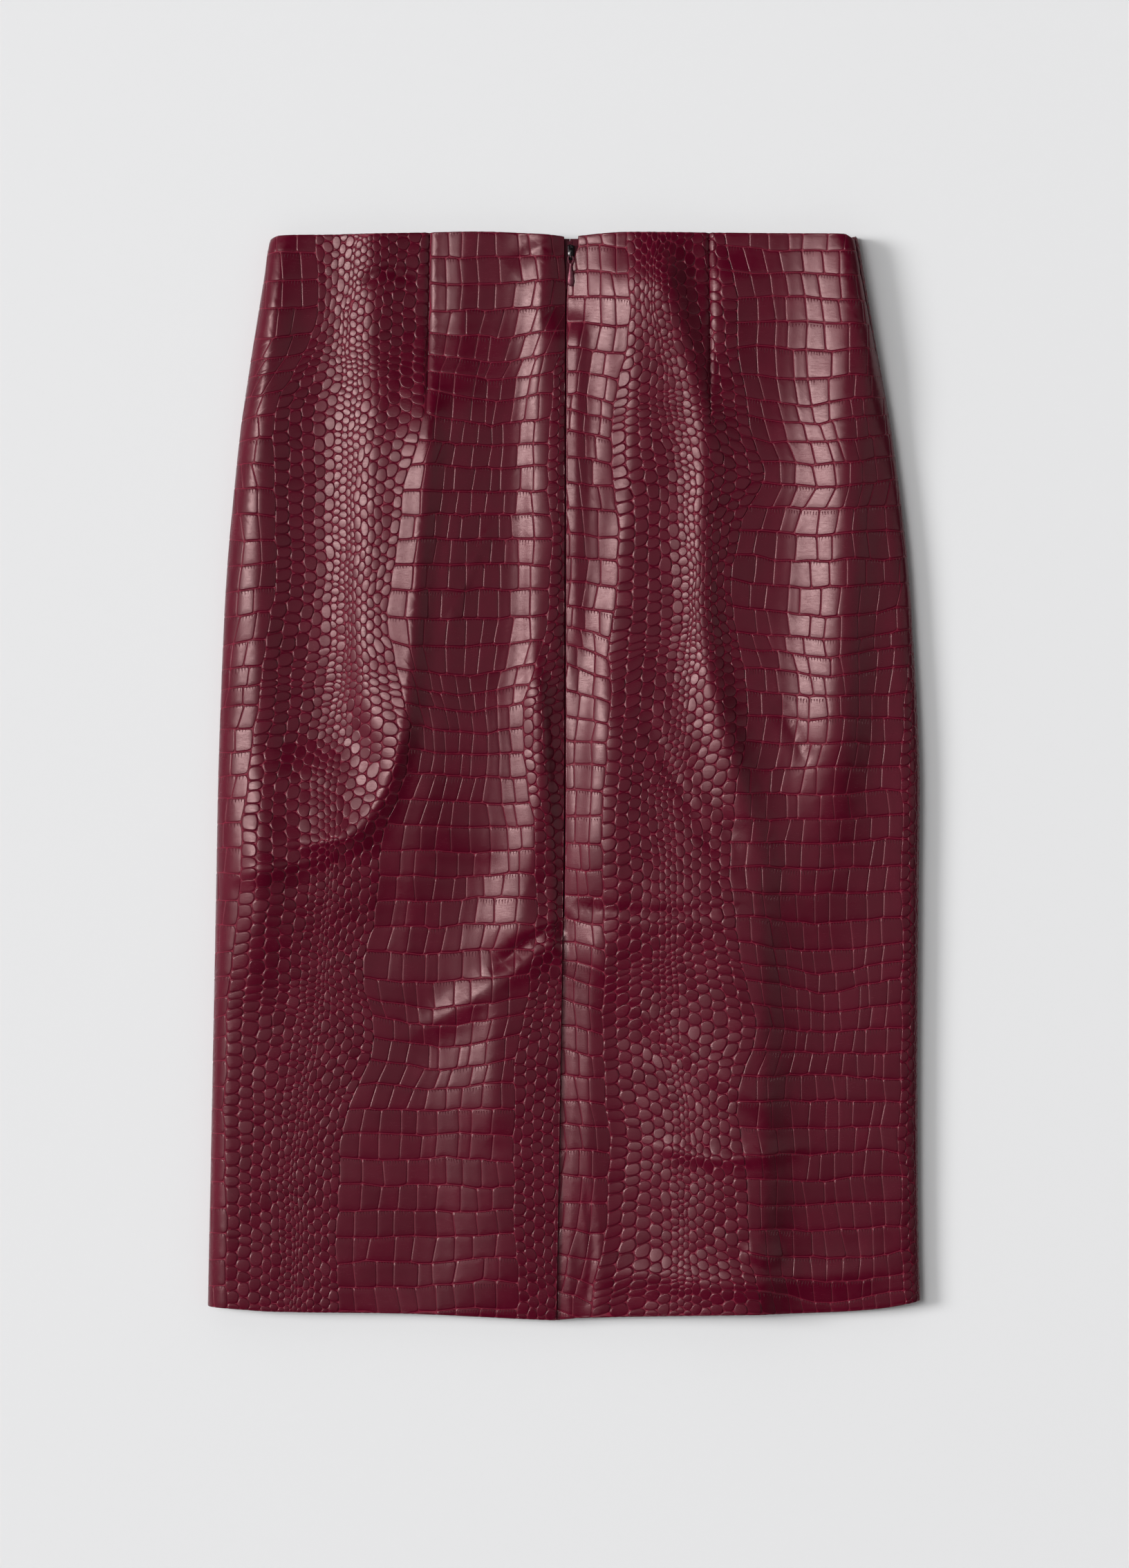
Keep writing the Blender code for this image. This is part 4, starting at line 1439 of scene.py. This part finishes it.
def leather_finish():
    material, n, shader = new_material("embossed_leather")
    place = n.add("TexCoord").outputs["Object"]
    groove = n.add("Attribute", {"attribute_name": "groove"}).outputs["Fac"]
    tone = n.add("Attribute", {"attribute_name": "tone"}).outputs["Fac"]
    local = n.add("SeparateXYZ", Vector=n.add("UVMap", {"uv_map": "scale"}).outputs[0])

    mottle = n.add("TexNoise", Vector=place, Scale=55.0, Detail=3.0, Roughness=0.6).outputs["Fac"]
    grain = n.add("TexNoise", Vector=place, Scale=1500.0, Detail=4.0, Roughness=0.65).outputs["Fac"]
    drawn = n.add("Mapping", Vector=place, Scale=(260.0, 1500.0, 260.0))
    streaks = n.add("TexNoise", Vector=drawn.outputs[0], Scale=1.0, Detail=3.0).outputs["Fac"]

    # short pleats that hang from a belly scale's top edge
    across, down = local.outputs["X"], local.outputs["Y"]
    wander = n.add("TexNoise", Vector=place, Scale=160.0).outputs["Fac"]
    uneven = n.math("MULTIPLY", wander, PLEAT_WANDER)
    phase = n.math("ADD", n.math("MULTIPLY", across, PLEATS_PER_CM), uneven)
    saw = n.math("PINGPONG", phase, 0.5)
    length = n.between(wander, 0.32, 0.65, *PLEAT_LENGTHS)
    fade = n.math("SUBTRACT", 1.0, n.math("DIVIDE", down, length), clamp=True)
    start = n.between(down, *PLEAT_START)
    width = n.math("MULTIPLY", fade, PLEAT_HALF_WIDTH)
    cut_in = n.between(n.math("SUBTRACT", width, saw), 0.0, PLEAT_SOFTNESS)
    pleat = n.math("MULTIPLY", cut_in, start, clamp=True)

    scale = n.blend(n.between(mottle, 0.35, 0.7), SCALE_COLOUR, SCALE_MOTTLED)
    scale = n.blend(n.math("MULTIPLY", tone, TONE_SHARE), scale, SCALE_DEEP)
    depth = n.between(groove, *GROOVE_SPAN)
    # painted shade: the pleats are darkened in the base colour, as shade in their creases
    scale = n.blend(n.math("MULTIPLY", pleat, PLEAT_SHADE_SHARE), scale, PLEAT_SHADE_COLOUR)
    n.set(shader, "Base Color", n.blend(depth, scale, GROOVE_COLOUR))
    rough = n.between(mottle, 0.3, 0.7, *POLISH)
    sunk = n.math("MAXIMUM", depth, pleat)
    rough = n.math("ADD", rough, n.math("MULTIPLY", sunk, GROOVE_ROUGHER))
    rough = n.math("ADD", rough, n.between(grain, 0.4, 0.7, 0.0, GRAIN_ROUGHER))
    rough = n.math("ADD", rough, n.between(streaks, 0.4, 0.65, 0.0, STREAKS_ROUGHER))
    n.set(shader, "Roughness", rough)
    shader.inputs["IOR"].default_value = 1.5
    shader.inputs["Specular Tint"].default_value = GLOSS_TINT

    height = n.math("MULTIPLY", grain, GRAIN_HEIGHT)
    height = n.math("ADD", height, n.math("MULTIPLY", streaks, STREAK_HEIGHT))
    height = n.math("SUBTRACT", height, n.math("MULTIPLY", pleat, PLEAT_HEIGHT))
    bump = n.add("Bump", Strength=0.6, Distance=0.001, Height=height)
    n.set(shader, "Normal", bump.outputs[0])
    return material


def woven_finish(name, weave, threads, dark, light):
    material, n, shader = new_material(name)
    height = n.group(weave, Threads=threads)["Height"]
    n.set(shader, "Base Color", n.blend(n.between(height, 0.1, 0.8), dark, light))
    shader.inputs["Roughness"].default_value = 0.85
    n.set(shader, "Normal", n.add("Bump", Strength=0.5, Distance=0.0003, Height=height).outputs[0])
    return material


def metal_finish(name, wear, colour, worn, roughness, metallic):
    material, n, shader = new_material(name)
    marks = n.group(wear, Scratches=0.4)
    rubbed = n.add("TexNoise", Scale=400.0, Detail=5.0, Vector=n.add("TexCoord").outputs["Object"])
    share = n.between(rubbed.outputs["Fac"], 0.55, 0.72)
    n.set(shader, "Base Color", n.blend(share, colour, worn))
    n.set(shader, "Roughness", n.math("ADD", marks["Smudge"], roughness))
    shader.inputs["Metallic"].default_value = metallic
    bump = n.add("Bump", Strength=0.15, Distance=0.0002, Height=marks["Height"])
    n.set(shader, "Normal", bump.outputs[0])
    return material


def plain_finish(name, colour, roughness):
    material, _, shader = new_material(name)
    shader.inputs["Base Color"].default_value = colour
    shader.inputs["Roughness"].default_value = roughness
    return material


# ------------------------------------------------------------- zip

TAPE_TOP_INSET = 1.5
PIVOT_LIFT = 1.15           # of the pull's pivot over the back's face
SLIDER_LENGTH = 9.6
SLIDER_REACH = 1.9          # from the pivot down to the slider's foot
SLIDER_HEIGHT = 1.7
SLIDER_TOP_DROP = 1.1       # from the pivot to the top plate
SLIDER_HALF_WIDTH = 1.9
SLIDER_PLATE = 0.55
PLATE_EDGE = 0.18           # how far a plate's rounded edges draw in
PLATE_EDGE_HEIGHT = 0.12
BASE_SIZE = 0.97            # of the lower plate, against the upper
POST_PLACE = 8.0            # up from the slider's foot
POST_RADIUS = 0.8
POST_INSET = 0.2
SLIDER_OUTLINE = (
    # distance up from the slider's foot, half width
    (0.0, 1.35), (0.35, 1.6), (3.5, 1.65), (6.0, 1.85), (8.6, 1.95), (9.35, 1.75), (9.6, 1.3),
)
BOW_PATH = (
    # along, up from the top plate: the arch that holds the pull
    (-1.62, -0.3), (-1.62, 1.7), (-1.3, 2.45), (-0.7, 2.72), (0.7, 2.72), (1.3, 2.45),
    (1.62, 1.7), (1.62, -0.3),
)
BOW_RADIUS = 0.36
STIRRUP_PATH = (
    # across, down from the pivot: the loop at the pull's head
    (-1.2, 0.0), (1.2, 0.0), (1.62, -0.5), (1.6, -2.5), (1.25, -3.6), (0.6, -4.35), (-0.6, -4.35),
    (-1.25, -3.6), (-1.6, -2.5), (-1.62, -0.5),
)
STIRRUP_RADIUS = 0.44
TEARDROP_SIDES = 24
TEARDROP = (
    # down from the pivot, half width, half thickness
    (-3.9, 0.45, 0.40), (-4.3, 0.80, 0.52), (-5.2, 0.86, 0.50), (-5.7, 0.78, 0.44), (-6.1, 0.86, 0.46),
    (-8.0, 1.16, 0.54), (-10.5, 1.55, 0.58), (-13.0, 1.95, 0.60), (-15.2, 2.16, 0.59),
    (-16.8, 2.05, 0.56), (-17.9, 1.66, 0.48), (-18.6, 1.05, 0.34), (-18.9, 0.45, 0.14),
)
COIL_FROM = 314.0           # below here the closed seam hides the coil
COIL_TOP_GAP = 0.6
COIL_CLEAR = (0.6, 0.5)     # of the slider's foot and of its head
COIL_SPREAD = 0.3           # how far the two coils stand apart above the slider
COIL_MESH = 0.25            # how far they reach into each other below it
TOOTH_PITCH = 1.15
TOOTH_REACH = 1.5
TOOTH_RADIUS = 0.27
TOOTH_SHOULDER = 0.3
TOOTH_HALF_LOOP = 0.24
TOOTH_LIFT = 0.12
TOOTH_CROWN = 0.1
STITCH_COUNT = 9
STITCH_HALF_LENGTH = 0.31   # in stitches
STITCH_RADIUS = 0.2
STITCH_RISE = (-0.35, 0.08, 0.16, 0.08, -0.35)
TUBE_STEPS = 4              # along each span of a bar's path
TUBE_SIDES = 10
THREAD_SIDES = 8


def new_piece(name, points, faces, material):
    mesh = bpy.data.meshes.new(name)
    mesh.from_pydata([tuple(value * MM for value in point) for point in points], [], faces)
    mesh.materials.append(material)
    mesh.shade_smooth()
    piece = bpy.data.objects.new(name, mesh)
    bpy.context.scene.collection.objects.link(piece)
    return piece


def loft(rings):
    """Closed skin through rings of points, with its ends filled."""
    count = len(rings[0])
    points = [point for ring in rings for point in ring]
    faces = [list(range(count))[::-1], [len(points) - count + i for i in range(count)]]
    for level in range(len(rings) - 1):
        for i in range(count):
            j = (i + 1) % count
            low, high = level * count, (level + 1) * count
            faces.append([low + i, low + j, high + j, high + i])
    return points, faces


def tube(path, radius, closed=False, sides=TUBE_SIDES):
    """Round bar along a path, smoothed through its points."""
    path = [Vector(point) for point in path]
    dense = []
    spans = len(path) if closed else len(path) - 1
    for i in range(spans):
        before = path[i - 1] if closed or i > 0 else path[i]
        start, end = path[i], path[(i + 1) % len(path)]
        after = path[(i + 2) % len(path)] if closed or i + 2 < len(path) else end
        for n in range(TUBE_STEPS):
            t = n / TUBE_STEPS
            dense.append(0.5 * (
                2 * start + (end - before) * t + (2 * before - 5 * start + 4 * end - after) * t ** 2
                + (3 * start - before - 3 * end + after) * t ** 3
            ))
    if not closed:
        dense.append(path[-1])
    flat = (dense[1] - dense[0]).cross(dense[len(dense) // 2] - dense[0])
    side = flat.normalized() if flat.length > 1e-6 else Vector((0.0, 0.0, 1.0))
    rings = []
    for i, point in enumerate(dense):
        ahead = dense[(i + 1) % len(dense)] if closed else dense[min(i + 1, len(dense) - 1)]
        behind = dense[i - 1] if closed or i > 0 else dense[0]
        other = (ahead - behind).normalized().cross(side)
        ring = []
        for n in range(sides):
            turn = 2 * math.pi * n / sides
            ring.append(point + radius * (math.cos(turn) * side + math.sin(turn) * other))
        rings.append(ring)
    if closed:
        rings.append(rings[0])
        points, faces = loft(rings)
        count = sides * (len(rings) - 1)
        faces = [[p % count for p in face] for face in faces[2:]]
        return points[:count], faces
    return loft(rings)


def joined(parts):
    """Several shapes as one list of points and one of faces."""
    points, faces = [], []
    for more, their in parts:
        faces += [[p + len(points) for p in face] for face in their]
        points += more
    return points, faces


def pivot_height():
    return float(curve_value(BACK_HEIGHT, PIVOT_Y)) + PIVOT_LIFT


def slider_body(metal):
    """Two plates with a post between them, and the bow on top."""
    foot = PIVOT_Y - SLIDER_REACH
    top = pivot_height() - SLIDER_TOP_DROP
    middle = SLIDER_LENGTH / 2
    outline = [(half, along) for along, half in SLIDER_OUTLINE]
    outline += [(-half, along) for along, half in reversed(SLIDER_OUTLINE)]

    def plate(low, high, size):
        rings = []
        edges = (low, PLATE_EDGE), (low + PLATE_EDGE_HEIGHT, 0.0)
        edges += (high - PLATE_EDGE_HEIGHT, 0.0), (high, PLATE_EDGE)
        for height, inset_by in edges:
            narrow = size * (1.0 - inset_by / SLIDER_HALF_WIDTH)
            ring = []
            for x, y in outline:
                along = middle + (y - middle) * size * (1.0 - inset_by / middle)
                ring.append((PIVOT_X + x * narrow, foot + along, height))
            rings.append(ring)
        return loft(rings)

    floor = top - SLIDER_HEIGHT
    post_y = foot + POST_PLACE
    post = tube(((PIVOT_X, post_y, floor + POST_INSET), (PIVOT_X, post_y, top - POST_INSET)), POST_RADIUS)
    bow = tube([(PIVOT_X, PIVOT_Y + y, top + z) for y, z in BOW_PATH], BOW_RADIUS)
    cap = plate(top - SLIDER_PLATE, top, 1.0)
    base = plate(floor, floor + SLIDER_PLATE, BASE_SIZE)
    return new_piece("slider_body", *joined((cap, base, post, bow)), metal)


def pull_tab(metal):
    """Loop round the slider's bow, with a domed teardrop hanging from it."""
    height = pivot_height()
    stirrup = tube([(PIVOT_X + x, PIVOT_Y + y, height) for x, y in STIRRUP_PATH], STIRRUP_RADIUS, True)
    rings = []
    for y, half_width, half_thickness in TEARDROP:
        ring = []
        for n in range(TEARDROP_SIDES):
            turn = 2 * math.pi * n / TEARDROP_SIDES
            x, z = half_width * math.cos(turn), half_thickness * math.sin(turn)
            ring.append((PIVOT_X + x, PIVOT_Y + y, height + z))
        rings.append(ring)
    return new_piece("pull_tab", *joined((stirrup, loft(rings))), metal)


def tape_height(x, y):
    """Top of the zip's tapes over the floor."""
    x, y = np.array([x]), np.array([y])
    dip = SEAM_DIP * np.exp(-((x - centre_x(y)) / SEAM_DIP_WIDTH) ** 2)
    return float((smooth_height(x, y) - dip - WALL - LAYER_GAP)[0])


def coil_teeth(thread):
    """Loops of the zip's coil along the tapes' edges, apart above the slider."""
    parts = []
    top = float(curve_value(WAIST_EDGE, 0.0)) - TAPE_TOP_INSET
    foot = PIVOT_Y - SLIDER_REACH
    head = foot + SLIDER_LENGTH
    count = int((top - COIL_TOP_GAP - COIL_FROM) / TOOTH_PITCH)
    for n in range(count):
        y = COIL_FROM + n * TOOTH_PITCH
        if foot - COIL_CLEAR[0] < y < head + COIL_CLEAR[1]:
            continue
        for side, shift in ((-1.0, 0.0), (1.0, TOOTH_PITCH / 2)):
            apart = COIL_SPREAD if y > foot else 0.0
            near = float(centre_x(y)) + side * (apart - COIL_MESH)
            far = near + side * TOOTH_REACH
            z = tape_height(near, y) + TOOTH_RADIUS + TOOTH_LIFT
            shoulder = near + side * TOOTH_SHOULDER
            low, high = y + shift - TOOTH_HALF_LOOP, y + shift + TOOTH_HALF_LOOP
            path = (
                (far, low, z), (shoulder, low, z), (near, y + shift, z + TOOTH_CROWN),
                (shoulder, high, z), (far, high, z),
            )
            parts.append(tube(path, TOOTH_RADIUS, sides=THREAD_SIDES))
    return new_piece("coil_teeth", *joined(parts), thread)


def stitch_row(name, start, end, side, thread):
    """Short threads along a line on a back panel, each sunk at its ends."""
    start, end = np.array(start), np.array(end)
    parts = []
    for n in range(STITCH_COUNT):
        middle = (n + 0.5) / STITCH_COUNT
        reach = STITCH_HALF_LENGTH / STITCH_COUNT
        shares = (middle - reach, middle - reach / 2, middle, middle + reach / 2, middle + reach)
        spots = np.array([start + (end - start) * t for t in shares])
        path = back_place(side, *spots.T)
        path[:, 2] += STITCH_RISE
        parts.append(tube([tuple(point) for point in path], STITCH_RADIUS, sides=THREAD_SIDES))
    return new_piece(name, *joined(parts), thread)


# ------------------------------------------------------------- set

CAMERA_HEIGHT = 4.0         # this section's lengths are in metres
CAMERA_X = 0.0002
CAMERA_Y = -0.0051
FRAME_HEIGHT = 1.0127       # of the picture, at the skirt
FILM = 36.0
PAPER_REACH = 4.0
PAPER_DROP = 0.0002
LIGHT_DISTANCE = 12.0
ROOM_LIGHT = {"left": 0.5, "right": 0.06, "overhead": 0.01}
CEILING = (0.62, 0.80)      # how steeply up the walls' light ends
LIGHTS = (
    # name, degrees to the right and towards the waist, half width and half height in
    # degrees, radiance in the middle, how steeply that falls to the edge
    ("key", -26.0, 7.0, 6.5, 20.0, 23.0, 3.0),
    ("key_spill", -32.0, 8.0, 19.0, 30.0, 2.0, 1.0),
    ("right_fill", 26.0, 2.0, 8.0, 40.0, 0.5, 0.0),
)
LOW_KEY = {"right": -62.0, "up": 12.0, "spread": 18.0, "light": 1.24}


def aim(light, right, up):
    """Puts a light at its angles from straight overhead, to face the skirt."""
    toward = Vector((math.tan(math.radians(right)), math.tan(math.radians(up)), 1.0)).normalized()
    light.location = toward * LIGHT_DISTANCE
    light.rotation_euler = toward.to_track_quat("Z", "Y").to_euler()
    bpy.context.scene.collection.objects.link(light)


def softbox(name, right, up, half_width, half_height, radiance, fall):
    """A panel light, brightest in its middle."""
    lamp = bpy.data.lights.new(name, "AREA")
    lamp.shape = "RECTANGLE"
    lamp.size = 2.0 * LIGHT_DISTANCE * math.tan(math.radians(half_width))
    lamp.size_y = 2.0 * LIGHT_DISTANCE * math.tan(math.radians(half_height))
    lamp.energy = radiance * math.pi * lamp.size * lamp.size_y
    if fall > 0.0:
        lamp.use_nodes = True
        n = Nodes(lamp.node_tree)
        place = n.add("SeparateXYZ", Vector=n.add("TexCoord").outputs["UV"])
        parts = []
        for way in ("X", "Y"):
            off = n.math("SUBTRACT", place.outputs[way], 0.5)
            parts.append(n.math("MULTIPLY", n.math("MULTIPLY", off, off), 4.0))
        left = n.math("SUBTRACT", 1.0, n.math("ADD", *parts), clamp=True)
        n.set(lamp.node_tree.nodes["Emission"], "Strength", n.math("POWER", left, fall))
    aim(bpy.data.objects.new(name, lamp), right, up)


def low_key():
    """The broad light from low on the left, too soft to show in the gloss."""
    lamp = bpy.data.lights.new("low_key", "SUN")
    lamp.energy = LOW_KEY["light"] / math.cos(math.radians(LOW_KEY["right"]))
    lamp.angle = math.radians(LOW_KEY["spread"])
    light = bpy.data.objects.new("low_key", lamp)
    light.visible_glossy = False
    aim(light, LOW_KEY["right"], LOW_KEY["up"])


def set_the_table():
    scene = bpy.context.scene
    scene.view_settings.view_transform = "Standard"
    camera = bpy.data.cameras.new("overhead")
    camera.sensor_width = FILM
    camera.lens = FILM * CAMERA_HEIGHT / FRAME_HEIGHT
    shown = bpy.data.objects.new("overhead", camera)
    shown.location = (CAMERA_X, CAMERA_Y, CAMERA_HEIGHT)
    scene.collection.objects.link(shown)
    scene.camera = shown

    sheet = bpy.data.meshes.new("paper")
    corners = ((-1, -1), (1, -1), (1, 1), (-1, 1))
    sheet.from_pydata([(PAPER_REACH * x, PAPER_REACH * y, 0.0) for x, y in corners], [], [(0, 1, 2, 3)])
    sheet.materials.append(plain_finish("paper", PAPER_COLOUR, roughness=0.9))
    paper = bpy.data.objects.new("paper", sheet)
    paper.location.z = -PAPER_DROP
    scene.collection.objects.link(paper)

    world = bpy.data.worlds.new("room")
    scene.world = world
    world.use_nodes = True
    world.node_tree.nodes["Background"].inputs["Color"].default_value = (1.0, 1.0, 1.0, 1.0)
    n = Nodes(world.node_tree)
    toward = n.add("SeparateXYZ", Vector=n.add("TexCoord").outputs["Generated"])
    walls = n.between(toward.outputs["X"], -1.0, 1.0, ROOM_LIGHT["left"], ROOM_LIGHT["right"])
    height = n.between(toward.outputs["Z"], *CEILING, smooth=True)
    light = n.math("MULTIPLY", walls, n.math("SUBTRACT", 1.0, height))
    light = n.math("ADD", light, ROOM_LIGHT["overhead"])
    n.set(world.node_tree.nodes["Background"], "Strength", light)
    for row in LIGHTS:
        softbox(*row)
    low_key()


def dress_zip(weave, wear):
    dark_metal = metal_finish("dark_metal", wear, DARK_METAL, DARK_METAL_WORN, roughness=0.28, metallic=1.0)
    wine_metal = metal_finish("wine_metal", wear, WINE_METAL, WINE_METAL_WORN, roughness=0.26, metallic=0.6)
    thread = plain_finish("wine_thread", THREAD_COLOUR, roughness=0.6)
    tape = woven_finish("tape_weave", weave, TAPE_THREADS, TAPE_DARK, TAPE_COLOUR)

    slider = slider_body(dark_metal)
    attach(slider, "skirt")
    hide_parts("zip_slider")
    pull = pull_tab(wine_metal)
    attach(pull, "pull")
    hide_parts("zip_pull")
    for side in ("left", "right"):
        band = bpy.data.objects["zip_tape_" + side]
        band.data.materials.clear()
        band.data.materials.append(tape)
    coil = coil_teeth(thread)
    stitches = stitch_row("vent_stitches", *VENT_STITCHES, "left", thread)
    for piece, slot in ((coil, "zip_tape"), (stitches, "leather")):
        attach(piece, "skirt")


def main():
    set_the_table()
    weave, wear = weave_effect(), wear_effect()
    leather = leather_finish()
    backing = woven_finish("knitted_backing", weave, BACKING_THREADS, BACKING_DARK, BACKING_COLOUR)
    dress_zip(weave, wear)
    panels = (
        # piece, node, flat width and length of its cut in metres, its area in square metres
        (back_skin("left"), "back_panel_left", (0.236, 0.702), 0.156),
        (back_skin("right"), "back_panel_right", (0.274, 0.702), 0.166),
        (front_skin(), "front_panel", (0.482, 0.700), 0.308),
    )
    for panel, node, flat, area in panels:
        panel.data.materials.append(leather)
        panel.data.materials.append(backing)
        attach(panel, "skirt")
        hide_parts(node)
        panel.data.calc_loop_triangles()
        print(panel.name, len(panel.data.loop_triangles), "triangles")


main()
